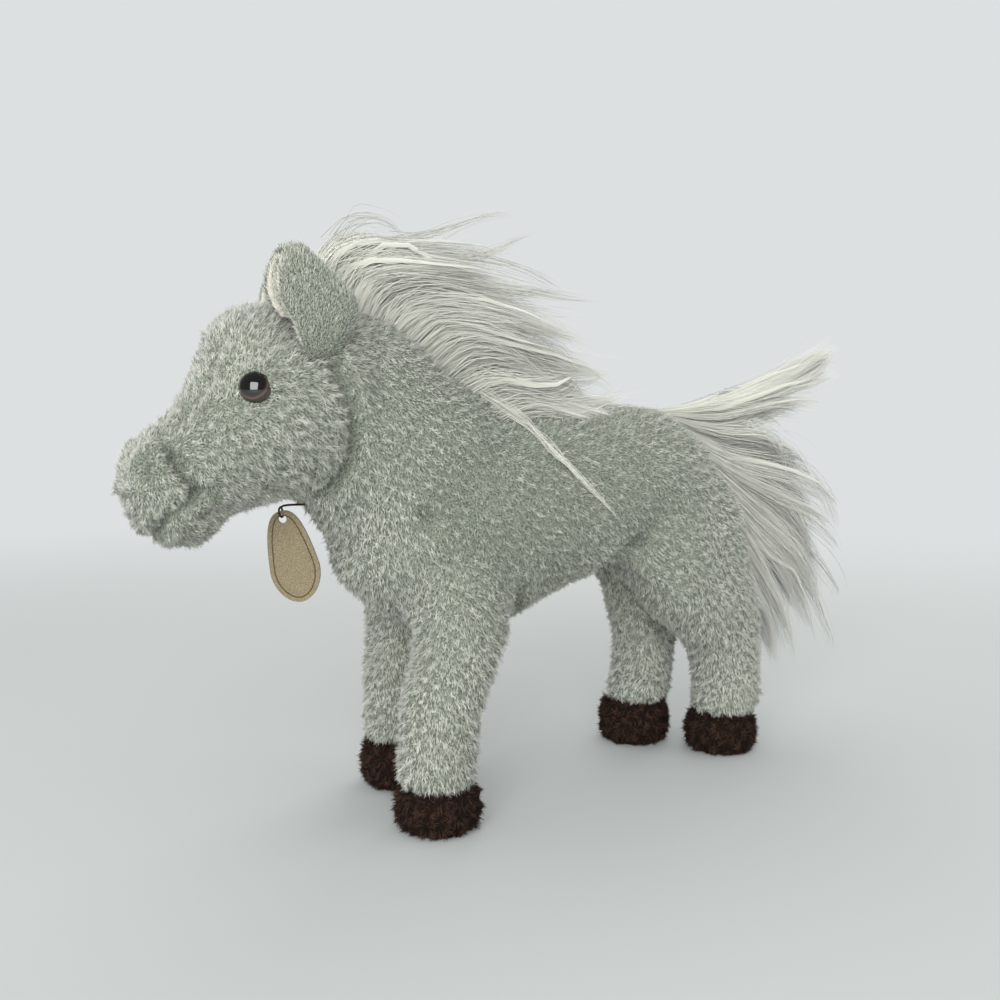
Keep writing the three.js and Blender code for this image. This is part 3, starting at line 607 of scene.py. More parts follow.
# %% Spikes from roots
def spikes(name, roots, normals, ways, lengths, width, tones, finish, seed):
    """One closed thread with four faces for each root, as one mesh."""
    rng = np.random.default_rng(seed)
    count = len(roots)
    across = unit(np.cross(ways, rng.normal(size=(count, 3))))
    third = np.cross(ways, across)
    turns = (0, 2 * math.pi / 3, 4 * math.pi / 3)
    spokes = np.stack([across * math.cos(turn) + third * math.sin(turn) for turn in turns], axis=1)
    tips = roots + ways * lengths[:, None]
    vertices = np.concatenate([roots[:, None] + width / 2 * spokes, tips[:, None]], axis=1)
    pattern = np.array([[0, 1, 3], [1, 2, 3], [2, 0, 3], [2, 1, 0]])
    faces = (pattern[None] + 4 * np.arange(count)[:, None, None]).reshape(-1, 3)
    piece = mesh_from(name, vertices.reshape(-1, 3), faces)
    give(piece, "along", np.tile(np.array([0, 0, 0, 1], np.float32), count))
    give(piece, "tone", np.repeat(tones.astype(np.float32), 4))
    uneven, round_share, tip_share = 0.38, 0.45, 0.4
    soft = normals + uneven * rng.normal(size=(count, 3))
    tip = (soft + tip_share * ways)[:, None]
    shading = np.concatenate([soft[:, None] + round_share * spokes, tip], axis=1)
    shade_along(piece, shading.reshape(-1, 3))
    columns = math.ceil(math.sqrt(count))
    side, base = [(0.1, 0.1), (0.9, 0.1), (0.5, 0.9)], [(0.1, 0.1), (0.9, 0.1), (0.5, 0.12)]
    map_threads(piece, np.array([side, side, side, base]), count, columns, columns)
    piece.data.materials.append(finish)
    return piece


def shade_along(piece, normals):
    """Shades each point as if the surface faced its given way, as soft fibre does in a mass."""
    give(piece, "custom_normal", unit(normals), "FLOAT_VECTOR", "vector")


def map_threads(piece, local, count, columns, rows):
    """The piece's own flat map: one thread's map (faces, 3, 2) in a small cell for each."""
    which = np.arange(count)
    cell = np.stack([which % columns / columns, which // columns / rows], 1)
    places = local / (columns, rows) + cell[:, None, None]
    sheet = piece.data.uv_layers.new(name="OFBake")
    sheet.data.foreach_set("uv", places.astype(np.float32).ravel())


def mesh_from(name, vertices, faces):
    mesh = bpy.data.meshes.new(name)
    mesh.vertices.add(len(vertices))
    mesh.vertices.foreach_set("co", vertices.astype(np.float32).ravel())
    mesh.loops.add(faces.size)
    mesh.loops.foreach_set("vertex_index", faces.astype(np.int32).ravel())
    mesh.polygons.add(len(faces))
    starts = np.arange(0, faces.size, faces.shape[1], dtype=np.int32)
    mesh.polygons.foreach_set("loop_start", starts)
    mesh.polygons.foreach_set("use_smooth", np.ones(len(faces), bool))
    mesh.update(calc_edges=True)
    return in_scene(name, mesh)


# %% [markdown]
# ## Pile finishes
#
# The cloth is knitted acrylic plush with frosted tips: grey-green at the root and paler towards
# the tip, more so on some threads than on others, which gives the speckled look. The backing
# under it is a dark shade of the same dye, dark also as painted shade between the threads. The
# darkest threads, mostly those pressed into seams, take the root colour as painted shade.
# Acrylic fibre has a soft sheen and no shine.

# %% Plush finishes
def plush_finish(name, root, middle, tip, patch, patch_size, sheen=0.25):
    material, tree = new_material(name)
    along, tone = carried(tree, "along"), carried(tree, "tone")
    risen = remap(tree, along, 0.02, 0.7, kind="SMOOTHSTEP")
    pale = remap(tree, tone, 0.25, 0.95, kind="SMOOTHSTEP")
    fibre = dye(tree, pale, dye(tree, risen, root, middle), dye(tree, risen, root, tip))
    patches = remap(tree, noise(tree, patch_size, 2), 0.35, 0.7, (0, 0.4))
    # The darkest tones, mostly of threads pressed into seams, go to the root colour: painted
    # shade.
    deep = remap(tree, tone, 0, 0.2, (0.5, 0))
    dyed = dye(tree, deep, dye(tree, patches, fibre, patch), root)
    shade = remap(tree, noise(tree, 0.6 * MM, 3), 0.38, 0.62, (0.8, 1.08))
    fibres = add(tree, "ShaderNodeVectorMath", {0: dyed, "Scale": shade}, operation="SCALE")
    surface(tree, fibres.outputs[0], 0.8, 0.25, Sheen_Weight=sheen, Sheen_Roughness=0.5)
    return material


def backing_finish(name, colour, shade):
    material, tree = new_material(name)
    knit = noise(tree, 0.7 * MM, 3)
    stitches = dye(tree, remap(tree, knit, 0.36, 0.64), colour, shade)
    surface(tree, stitches, 0.9, 0.15, Normal=bumped(tree, knit, 0.4 * MM))
    return material


grey_plush = plush_finish(
    "acrylic_plush_frosted_grey", "#525B4F", "#BCC1B3", "#F3F4E9", "#B3B8AA", 16 * MM
)
cream_plush = plush_finish(
    "acrylic_plush_cream", "#C9C5B7", "#E2DFD4", "#F3F1E8", "#D8D4C7", 9 * MM
)
brown_plush = plush_finish(
    "acrylic_plush_dark_brown", "#140C07", "#35231A", "#5B4030", "#22150E", 7 * MM, 0.0
)
# The grey and brown backings are dark like their roots, and also as painted shade between threads.
grey_backing = backing_finish("knitted_backing_grey", "#4F584C", "#939A8C")
cream_backing = backing_finish("knitted_backing_cream", "#D3CFC1", "#E2DED2")
brown_backing = backing_finish("knitted_backing_brown", "#140B07", "#20130B")

# %% [markdown]
# ## Brushing the coat
#
# The pile was brushed by hand, and the way it lies changes from place to place: up over the
# forehead, back and down over the cheeks and flanks, straight down on the legs. A table of
# strokes holds all this at a few places, with how pale and how long the pile is drawn there, and
# every thread follows the strokes nearest to it, so nothing changes suddenly where two cut pieces
# meet.

# %% Brush strokes of the near side: a place in mm, the way of the pile, how pale, its length in mm
strokes = np.array([
    (-165, 0, 170, 0.6, 0, 0.55, 0.18, 3.2), (-140, 0, 206, 0.5, 0, 0.7, 0.18, 3.8),
    (-120, 0, 214, 0.9, 0, 0.2, 0.1, 3.8), (-186, 0, 150, 0.1, 0, 0.9, 0.2, 2.8),
    (-182, -12, 152, 0.3, -0.5, 0.6, 0.15, 2.8), (-176, -20, 140, 0.5, -0.1, -0.75, 0.18, 3.2),
    (-180, 0, 128, 0.3, 0, -0.9, 0.1, 3.2), (-165, 0, 124, 0.9, 0, -0.2, 0.1, 3.6),
    (-158, -20, 162, 0.5, 0, -0.5, 0.06, 3.4), (-156, -22, 182, 0.4, 0, 0.7, 0.14, 3.4),
    (-132, -28, 196, 0.6, 0, 0.3, 0.08, 3.8), (-134, -31, 166, 0.6, 0, -0.65, 0.12, 4.0),
    (-142, -22, 140, 0.9, 0, -0.3, 0.14, 4.0), (-118, -22, 146, 0.5, 0, -0.8, 0.12, 3.8),
    (-92, -30, 168, 0.35, 0, -0.9, 0.05, 3.0), (-104, 0, 118, 0.15, 0, -1, 0.2, 3.8),
    (-98, -20, 116, 0.25, -0.1, -0.95, 0.2, 3.8), (-84, 0, 92, 0.3, 0, -1, 0.2, 4.0),
    (-62, -38, 130, 0.15, 0, -1, -0.14, 3.0), (-30, -38, 120, 0.45, 0, -0.85, -0.1, 3.0),
    (-20, 0, 168, 0.95, 0, 0, -0.1, 2.8), (20, -38, 130, 0.6, 0, -0.8, -0.1, 3.0),
    (20, 0, 168, 0.95, 0, -0.05, -0.12, 2.8), (15, -30, 90, 0.75, 0, -0.4, 0.06, 3.4),
    (55, -38, 130, 0.6, 0, -0.8, 0.04, 3.2), (80, -34, 120, 0.4, 0, -0.9, 0.18, 3.4),
    (60, 0, 170, 0.95, 0, -0.1, -0.04, 3.0), (98, 0, 130, 0.1, 0, -1, 0.2, 3.6),
    (10, 0, 78, 0.95, 0, 0, 0.1, 3.4), (-60, -25, 60, 0, 0, -1, 0.18, 4.0),
    (80, -22, 60, 0.05, 0, -1, 0.26, 4.0), (-60, -25, 30, 0, 0, -1, 0.2, 4.0),
    (85, -20, 30, 0, 0, -1, 0.3, 4.0),
])


softness, turning, coat_share = 60, 0.25, 0.74


def brushed(points):
    """The way the pile lies at each point of the grey coat, how pale it is, and its length."""
    side = np.where(points[:, 1] > 0, -1.0, 1.0)[:, None]
    mirror = np.concatenate([np.ones_like(side), side, np.ones_like(side)], axis=1)
    near, weights = np.zeros((len(points), 5)), np.zeros((len(points), 1))
    for x, y, z, *stroke in strokes:
        reach = (((points * mirror) / MM - (x, y, z)) ** 2).sum(1)
        weight = 1 / (reach + softness)[:, None] ** 2
        near += np.array(stroke) * weight
        weights += weight
    _, turn = wander(points, 24 * MM, 11)
    near /= weights
    ways = unit(unit(near[:, :3]) * mirror + turning * turn)
    return ways, near[:, 3], near[:, 4] * coat_share * MM


# %% Coat of threads
bunch_size, fleck_size, root_depth = 4.4 * MM, 1.8 * MM, 0.3 * MM


def lay_pile(piece, per_mm2, lean, seed, comb, speckle=1.0):
    """The threads of a piece's pile: roots, normals, ways, lengths and tones."""
    roots, normals, press = scatter(piece, per_mm2, seed)
    rng = np.random.default_rng(seed + 1)
    count = len(roots)
    combed, pale, length = comb(roots)
    combed = unit(combed - normals * (combed * normals).sum(1, keepdims=True))
    bunch, pull = wander(roots, bunch_size, 2)
    fleck, pinch = wander(roots, fleck_size, 3)
    pull = pull + 0.8 * pinch
    pull = pull - normals * (pull * normals).sum(1, keepdims=True)
    leans = np.radians(lean) * (0.8 + 0.4 * rng.random(count))
    ways = normals * np.cos(leans)[:, None] + combed * np.sin(leans)[:, None]
    ways = unit(ways + 0.44 * speckle * pull + 0.18 * rng.normal(size=ways.shape))
    lengths = length * (0.75 + 0.4 * rng.random(count)) * trimmed(roots)
    lengths *= 1 + speckle * (0.2 * bunch + 0.16 * fleck)
    lengths *= 1 - 0.6 * np.clip(press, 0, 1)
    uneven = 0.16 * bunch + 0.1 * fleck + 0.12 * rng.normal(size=count)
    # Pressed threads are drawn darker: painted shade along the seams.
    tones = 0.46 + 1.5 * pale + speckle * uneven - 0.9 * press
    return roots - normals * root_depth, normals, ways, lengths, np.clip(tones, 0, 1)


def coat(name, threads, chosen, width, finish, seed):
    """One mesh of the chosen threads."""
    *shape, tones = (values[chosen] for values in threads)
    pile = spikes(name, *shape, width, tones, finish, seed)
    print(name, len(tones), "threads")
    return pile


def trimmed(points):
    """Pile is trimmed short round the eyes and the nostrils."""
    share = np.ones(len(points))
    for aside in (1, -1):
        for place, room in (((-148.6, -29.1, 176.0), 6.0), ((-184, -13.5, 145), 2.6)):
            near = near_line(points, np.array(place) * (1, aside, 1)) / MM
            share = np.minimum(share, np.clip((near - room + 2) / 4, 0.4, 1))
    return share


for piece in [body_plush, head_plush, *legs_plush.values()]:
    piece.data.materials.append(grey_backing)
body_thread, head_thread = 0.5 * MM, 0.43 * MM
threads = lay_pile(skin, 3.2, 50, 100, brushed)
roots = threads[0]
in_head = (roots - head_end) @ neck_way < 0
body_share = 0.65
thinned = in_head | (np.random.default_rng(99).random(len(roots)) < body_share)
in_leg = ~in_head & (roots[:, 2] < leg_top)
rest = np.flatnonzero(thinned & ~in_head & ~in_leg)
body_pile = [
    coat(f"body_pile_{k + 1}", threads, part, body_thread, grey_plush, 110 + k)
    for k, part in enumerate(np.array_split(rest[np.argsort(roots[rest, 0])], 4))
]
mine = np.flatnonzero(in_head)[np.argsort(roots[in_head, 0])]
head_pile = [
    coat(f"head_pile_{k + 1}", threads, part, head_thread, grey_plush, 120 + k)
    for k, part in enumerate(np.array_split(mine, 2))
]
legs_pile = {}
for corner in corners:
    mine = thinned & in_leg & in_quarter(roots, corner)
    legs_pile[corner] = coat(f"{corner}_leg_pile", threads, mine, body_thread, grey_plush, 130)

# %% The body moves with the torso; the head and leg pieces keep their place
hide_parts("torso", "neck")
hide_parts("head", "muzzle", "chin")
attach(body_plush, "torso")
for pile in body_pile:
    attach(pile, "torso")
for piece in [head_plush, *head_pile]:
    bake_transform(piece)
for corner, leg in legs_plush.items():
    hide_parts(f"{corner}_leg")
    for piece in [leg, legs_pile[corner]]:
        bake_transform(piece)

# %% [markdown]
# ## Hooves
#
# Each hoof is a short stuffed cup of dark brown plush, sewn to the leg, and it rests on a flat
# sole. Its pile is curly, so the threads lean every way.

# %% Hooves
def every_way(points):
    _, turn = wander(points, 7 * MM, 41)
    return unit(turn + np.array((0, 0, -0.4))), 0.0, 3.0 * MM


hoof_still, hoof_rise = 8 * MM, 14 * MM
for i, corner in enumerate(corners):
    node = f"{corner}_hoof"
    hoof = cloth_from(f"{node}_plush", node, 1.8 * MM, 6, brown_backing)
    hoof_points = points_of(hoof)
    low = np.clip((hoof_points[:, 2] - hoof_still) / hoof_rise, 0, 1)
    hoof_points[:, 2] -= cuffs[corner] * MM * low
    move_points(hoof, hoof_points)
    threads = lay_pile(hoof, 1.8, 48, 400 + 10 * i, every_way)
    pile = coat(f"{node}_pile", threads, np.arange(len(threads[0])), 0.7 * MM, brown_plush, 400)
    for piece in [hoof, pile]:
        points = points_of(piece)
        points[:, 2] = np.maximum(points[:, 2], 0.1 * MM)
        move_points(piece, points)
        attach(piece, f"{corner}_leg")
    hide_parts(node)

# %% [markdown]
# ## Ears
#
# An ear is two leaves of plush sewn back to back: grey outside, and a shorter cream lining that
# shows along its front edge. The pile is trimmed short and brushed towards the tip. The base is
# held by the seam.

# %% Ears
def to_tip(points):
    return np.tile(np.array((-0.2, 0.0, 1.0)), (len(points), 1)), 0.03, 2.2 * MM


hinges = {joint["child"]: np.array(joint["pos_m"]) for joint in frame["joints"]}
for i, side in enumerate(["left", "right"]):
    leaf_points = points_of(frame["nodes"][f"{side}_ear"])
    hinge = hinges[f"{side}_ear"]
    ear_way = leaf_points[leaf_points[:, 2].argmax()] - hinge
    ear_way /= np.linalg.norm(ear_way)
    print(side, "ear bends over 13 mm along", ear_way.round(2))
    for leaf, finish, backing, slot, seed in (
        (f"{side}_ear", grey_plush, grey_backing, "body_plush", 500 + i),
        (f"{side}_ear_lining", cream_plush, cream_backing, "ear_lining_plush", 520 + i),
    ):
        cloth = cloth_from(f"{leaf}_plush", leaf, 1.0 * MM, 4, backing)
        threads = lay_pile(cloth, 2.8, 60, seed, to_tip, 0.4)
        pile = coat(f"{leaf}_pile", threads, np.arange(len(threads[0])), 0.45 * MM, finish, seed)
        for piece in [cloth, pile]:
            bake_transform(piece)
        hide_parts(leaf)

# %% [markdown]
# ## Eyes
#
# The eyes are plastic domes on a shank, pushed through the cloth and locked by a washer inside.
# The dome is clear over a brown ring and a black pupil, so it has a hard bright highlight.

# %% Eye finish
eye_finish, tree = new_material("polished_brown_acrylic")
pupil_and_ring = [
    (0.0, "#030202"), (0.76, "#060404"), (0.83, "#33231A"), (0.91, "#5E4636"), (0.99, "#261A13"),
]
iris = ramp(tree, carried(tree, "ring"), pupil_and_ring)
surface(tree, iris, 0.06, 0.5, IOR=1.49, Coat_Weight=1.0, Coat_Roughness=0.02, Coat_IOR=1.5)

# %% Eyes
eye_radius, eye_rise, eye_rim, eye_back = 6 * MM, 4.8 * MM, 0.2 * MM, 2 * MM
eye_sunk = 1.4 * MM
for side, aside in (("left", -1), ("right", 1)):
    out = Vector((-0.5128, aside * 0.8167, 0.2646)).normalized()
    seat = Vector((-0.14863, aside * 0.02906, 0.17674)) - out * eye_sunk
    bpy.ops.object.select_all(action="DESELECT")
    bpy.ops.mesh.primitive_uv_sphere_add(segments=48, ring_count=32, radius=1)
    eye = bpy.context.object
    eye.name = f"{side}_eye_dome"
    points = points_of(eye)
    up = points[:, 2] > 0
    points[:, :2] *= eye_radius
    dome = eye_rim + points[:, 2] * (eye_rise - eye_rim)
    points[:, 2] = np.where(up, dome, points[:, 2] * eye_back)
    pupil = np.array((aside * 0.6, 0.6)) * MM
    give(eye, "ring", np.linalg.norm(points[:, :2] - pupil, axis=1) / eye_radius)
    move_points(eye, points)
    eye.data.transform(Matrix.Translation(seat) @ out.to_track_quat("Z", "Y").to_matrix().to_4x4())
    bpy.ops.object.shade_smooth()
    eye.data.materials.append(eye_finish)
    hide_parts(f"{side}_eye")
    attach(eye, "head")

# %% [markdown]
# ## Mane and tail hair
#
# The hair is long acrylic fibre, much finer than any drawn thread, so each drawn thread stands
# for a few fibres. A thread is a slim three-sided tube that thins to a point, and one flat side
# faces out of the mass, so threads side by side shade alike, as combed fibre does. Threads
# gather in locks: each follows its own path near the root and its lock's path near the tip.

# %% Threads along paths
def hair_tubes(name, paths, widths, tones, outs, sides=3, swell=None):
    """Closed tubes along paths (count, steps, 3), thinning to a point, shaded towards outs."""
    count, steps, _ = paths.shape
    rings = steps - 1
    ahead = unit(np.gradient(paths, axis=1))
    outs = np.array(outs, float)[:, None]
    outs = unit(outs - ahead * (outs * ahead).sum(2, keepdims=True))
    aside = np.cross(ahead, outs)
    share = np.linspace(0, 1, steps)
    profile = 1 - 0.75 * share**1.5 if swell is None else swell(share)
    radius = widths[:, None, None] / 2 * profile[None, :, None]
    turns = (np.arange(sides) + 0.5) * 2 * math.pi / sides
    spokes = np.stack([outs * math.cos(turn) + aside * math.sin(turn) for turn in turns], axis=2)
    tube = (paths[:, :, None] + radius[:, :, None] * spokes)[:, :rings]
    vertices = np.concatenate([tube.reshape(count, rings * sides, 3), paths[:, -1:]], axis=1)
    per = rings * sides + 1
    faces = [[0, k + 1, k] for k in range(1, sides - 1)]
    for row in range(rings - 1):
        for k in range(sides):
            a, b = row * sides + k, row * sides + (k + 1) % sides
            faces += [[a, b, b + sides], [a, b + sides, a + sides]]
    last = (rings - 1) * sides
    faces += [[last + k, last + (k + 1) % sides, per - 1] for k in range(sides)]
    faces = np.array(faces)
    heights = np.append(np.repeat(share[:rings], sides), 1.0)
    piece = mesh_from(
        name,
        vertices.reshape(-1, 3),
        (faces[None] + per * np.arange(count)[:, None, None]).reshape(-1, 3),
    )
    shading = (outs[:, :, None] + 0.12 * spokes)[:, :rings].reshape(count, rings * sides, 3)
    shade_along(piece, np.concatenate([shading, outs[:, -1:]], axis=1).reshape(-1, 3))
    give(piece, "along", np.tile(heights, count))
    give(piece, "tone", np.repeat(tones, per))
    columns = math.ceil(math.sqrt(count / 4))
    around = np.append(np.tile(np.linspace(0.1, 0.9, sides), rings), 0.5)
    local = np.stack([around, 0.05 + 0.9 * heights], 1)[faces]
    map_threads(piece, local, count, columns, math.ceil(count / columns))
    piece.data.materials.append(hair_finish)
    return piece


def curve_through(knots, steps, reach):
    """Smooth paths through knots (count, n, 3), each drawn for its share of the way."""
    count, n, _ = knots.shape
    padded = np.concatenate(
        [2 * knots[:, :1] - knots[:, 1:2], knots, 2 * knots[:, -1:] - knots[:, -2:-1]], axis=1
    )
    where = np.linspace(0, n - 1, steps)[None] * np.broadcast_to(reach, count)[:, None]
    piece = np.minimum(where.astype(int), n - 2)
    t = (where - piece)[:, :, None]
    p0, p1, p2, p3 = (padded[np.arange(count)[:, None], piece + k] for k in range(4))
    square, cube = 2 * p0 - 5 * p1 + 4 * p2 - p3, 3 * p1 - p0 - 3 * p2 + p3
    return 0.5 * (2 * p1 + (p2 - p0) * t + square * t**2 + cube * t**3)


def drawn(x, y, z, tip_shift, reach, steps):
    """Paths through five knots each, the last two of them shifted."""
    knots = np.stack([x, y, z], 2)
    knots[:, 4] += tip_shift
    knots[:, 3] += tip_shift * 0.5
    return curve_through(knots, steps, reach)


def between(table, places):
    """Rows of a table at fractional places."""
    table = np.asarray(table, float)
    low = np.clip(places.astype(int), 0, len(table) - 2)
    share = (places - low).reshape(-1, *[1] * (table.ndim - 1))
    return table[low] * (1 - share) + table[low + 1] * share


def waved(paths, size, turns_low, turns_high, rng):
    """Paths with a slow wave that grows towards the tip."""
    count, steps, _ = paths.shape
    share = np.linspace(0, 1, steps)[None]
    for axis in (1, 2):
        waves = rng.uniform(turns_low, turns_high, (count, 1))
        phase = rng.uniform(0, 2 * math.pi, (count, 1))
        height = size * share * rng.uniform(0.4, 1.2, (count, 1))
        paths[:, :, axis] += height * (np.sin(2 * math.pi * waves * share + phase) - np.sin(phase))
    return paths


def gathered(own, locks, chosen, hold):
    """Paths that leave their own way for their lock's way towards the tip."""
    share = np.linspace(0, 1, own.shape[1])[None, :, None] ** 2 * hold[:, None, None]
    return own * (1 - share) + locks[chosen] * share


def lock_swell(share):
    """A lock's soft middle: thin at the root, full at a third of the way, gone before its tip."""
    return np.clip(0.35 + 3 * share, 0, 1) * np.clip(1.05 - 1.15 * share, 0, 1) ** 0.7


# %% Hair finish
hair_finish, tree = new_material("long_acrylic_fibre")
# Darker at the root, palest past the middle, and darker again at the tip as painted shade.
root_to_tip = [(0.0, "#9C9D8B"), (0.3, "#C8C9B8"), (0.7, "#EFF0E2"), (1.0, "#D4D5C6")]
lengthwise = ramp(tree, carried(tree, "along"), root_to_tip)
by_thread = dye(tree, carried(tree, "tone"), "#7C7E71", "#FFFFF8")
fibres = dye(tree, 0.5, lengthwise, by_thread)
surface(tree, fibres, 0.55, 0.3, Sheen_Weight=0.5, Sheen_Roughness=0.6)


# %% One mass of hair
def hair_mass(name, own, locks, chosen, hold, places, marks, outs, lock_outs, rng):
    """Threads gathered in their locks, in two pieces, and the locks' soft middles, drawn darker
    as painted shade inside the mass.
    """
    fine_wave, thin, thick = 1.8 * MM, 0.18, 0.36
    strands = waved(gathered(own, locks, chosen, hold), fine_wave, 0.8, 1.9, rng)
    tones = np.clip(0.7 + 0.08 * marks + 0.05 * np.sin(chosen * 2.4), 0, 1)
    widths = rng.uniform(thin, thick, len(own)) * MM
    outs = unit(outs) + 0.05 * rng.normal(size=outs.shape)
    pieces = [
        hair_tubes(f"{name}_hair_{k + 1}", strands[part], widths[part], tones[part], outs[part])
        for k, part in enumerate(np.array_split(np.argsort(places[chosen]), 2))
    ]
    # The locks' middles are toned darker than their threads: painted shade inside each lock.
    core_widths, painted_shade_core_tones = rng.uniform(2.5, 4.5, len(locks)) * MM, np.full(len(locks), 0.45)
    cores = hair_tubes(
        f"{name}_locks", locks, core_widths, painted_shade_core_tones, unit(lock_outs), sides=6, swell=lock_swell
    )
    print(f"{name}:", len(own), "threads in", len(locks), "locks")
    return pieces, cores


# %% [markdown]
# ## Mane
#
# A strip of hair is sewn along the crest from between the ears to the withers. It stands up
# from the crest, then blows back over the neck and the back in pointed locks.

# %% The mane's ways, in mm along X and Z, from the strip to the tip, from the poll backwards
mane_guides = np.array([
    [(-111, 214), (-109, 229), (-97, 239), (-76, 241), (-53, 235)],
    [(-101, 209), (-98, 226), (-85, 235), (-64, 235), (-37, 230)],
    [(-91, 203), (-84, 219), (-66, 227), (-42, 224), (-5, 219)],
    [(-81, 198), (-69, 213), (-50, 219), (-25, 214), (2, 205)],
    [(-70, 192), (-56, 205), (-35, 207), (-11, 200), (11, 189)],
    [(-60, 184), (-45, 194), (-22, 194), (0, 188), (19, 179)],
    [(-51, 176), (-32, 184), (-8, 182), (14, 179), (30, 174)],
    [(-40, 170), (-19, 175), (6, 174), (31, 172), (51, 170)],
    [(-28, 166), (-3, 170), (22, 171), (43, 171), (60, 169)],
])
mane_strip = np.array((3, 5, 7, 8, 9, 12, 15, 17, 15)) * MM
neck_round = 27 * MM


def mane_paths(places, turns, depths, tip_shift, reach, steps):
    """Paths rooted at places along the strip, turned to a side, near the surface or deep."""
    flat = between(mane_guides, places) * MM
    strip = between(mane_strip, places)
    even = np.ones_like(strip) * MM
    half = [strip, (strip + 13 * MM) / 2, 14 * even, 12 * even, 8 * even]
    side = (np.sin(turns) * depths)[:, None] * np.stack(half, 1)
    sink = (1 - np.cos(turns) * depths)[:, None] * np.array((0, 5, 9, 9, 7)) * MM
    sink[:, 0] = neck_round - np.sqrt(neck_round**2 - side[:, 0] ** 2)
    return drawn(flat[:, :, 0], side, flat[:, :, 1] - sink, tip_shift, reach, steps)


def mane_outs(turns):
    """Which way is out of the mane for threads turned to a side."""
    return np.stack([-0.25 + 0 * turns, 0.55 * np.sin(turns) - 0.25, 0.65 + 0 * turns], 1)


# %% Mane
rng = np.random.default_rng(7)
last_place = 7.99
lock_count, thread_count, steps = 84, 7600, 8
lock_places = np.sort(rng.uniform(0, last_place, lock_count))
lock_turns = rng.uniform(-1.6, 1.6, lock_count)
lock_depths = rng.uniform(0.5, 1.0, lock_count)
lock_shift = rng.normal(size=(lock_count, 3)) * np.array((12, 4, 5.5)) * MM
lock_shift[:, 2] -= np.abs(lock_shift[:, 2]) * (lock_places < 2)
lock_paths = mane_paths(lock_places, lock_turns, lock_depths, lock_shift, 1.0, steps)
lock_paths = waved(lock_paths, 4.6 * MM, 0.5, 1.3, rng)
chosen = rng.integers(0, lock_count, thread_count)
spread = rng.normal(size=(thread_count, 4))
turns = lock_turns[chosen] + spread[:, 1] * 0.35
loose = rng.random(thread_count) < 0.05
own = mane_paths(
    np.clip(lock_places[chosen] + spread[:, 0] * 0.35, 0, last_place),
    turns,
    np.clip(lock_depths[chosen] + spread[:, 2] * 0.15, 0.2, 1.08),
    lock_shift[chosen] + rng.normal(size=(thread_count, 3)) * np.array((8, 4, 4)) * MM,
    np.where(loose, 1.12, 0.5 + 0.5 * rng.random(thread_count) ** 1.5),
    steps,
)
hold = np.where(loose, 0.2, 0.78)
mane_pieces, mane_cores = hair_mass(
    "mane", own, lock_paths, chosen, hold, lock_places, spread[:, 3],
    mane_outs(turns), mane_outs(lock_turns), rng,
)

# %% Wisps that stand away from the mass
def wisps(name, table, per, seed):
    """A few fibres along each line of points (x, z) in mm, apart at first and close at the tip,
    drawn darker than the mass as painted shade.
    """
    rng = np.random.default_rng(seed)
    flat = np.repeat(np.array(table, float), per, axis=0)
    knots = np.stack([flat[:, :, 0], 0 * flat[:, :, 0], flat[:, :, 1]], 2)
    apart = rng.normal(size=(len(flat), 1, 3)) * (3.5, 4, 2.2) + rng.normal(size=knots.shape) * 0.8
    knots += apart * np.linspace(1, 0.35, 5)[None, :, None]
    paths = curve_through(knots * MM, 9, rng.uniform(0.75, 1.0, len(flat)))
    return hair_tubes(
        name,
        paths,
        rng.uniform(0.18, 0.32, len(flat)) * MM,
        # Tone 0 is the darkest: painted shade on the thin wisps against the light.
        np.full(len(flat), 0.0),
        np.tile(np.array((-0.2, -0.6, 0.7)), (len(flat), 1)),
    )


mane_wisps = wisps(
    "mane_wisps",
    [
        [(-83, 236), (-62, 239), (-44, 246), (-30, 251), (-17, 253)],
        [(-72, 227), (-50, 230), (-30, 236), (-17, 242), (-6, 246)],
        [(-70, 220), (-40, 223), (-9, 221), (10, 219), (32, 218)],
        [(-65, 213), (-40, 214), (-14, 218), (-1, 221), (16, 220)],
        [(-51, 207), (-20, 201), (-1, 198), (12, 193), (15, 178)],
        [(-41, 186), (-9, 183), (14, 180), (25, 181), (38, 186)],
        [(-74, 234), (-45, 233), (-17, 230), (-1, 225), (12, 220)],
        [(-104, 235), (-97, 243), (-87, 245), (-78, 243), (-72, 238)],
    ],
    16,
    31,
)

# %% A few fibres that hang from the mane over the flank
strand = np.array([
    (-43, -12, 175), (-27.4, -19.5, 164), (-21.2, -31, 153),
    (-13, -38, 142), (-1.5, -42, 130), (10.5, -42.5, 119),
]) * MM
few = 26
apart = rng.normal(size=(few, 6, 3)) * np.linspace(1.5, 0.2, 6)[None, :, None]
knots = strand[None] + apart * MM * (1, 0.3, 1)
stray = hair_tubes(
    "mane_stray_strand",
    curve_through(knots, 12, rng.uniform(0.7, 1.0, few)),
    rng.uniform(0.16, 0.24, few) * MM,
    np.full(few, 0.8),
    np.tile(np.array((0, -0.9, 0.4)), (few, 1)),
)

# %% [markdown]
# ## Tail
#
# The tail is one thick tuft sewn in at the top of the rump. Its top lock blows back and up to a
# long point, and the rest falls behind the haunches in a fan of wavy locks.

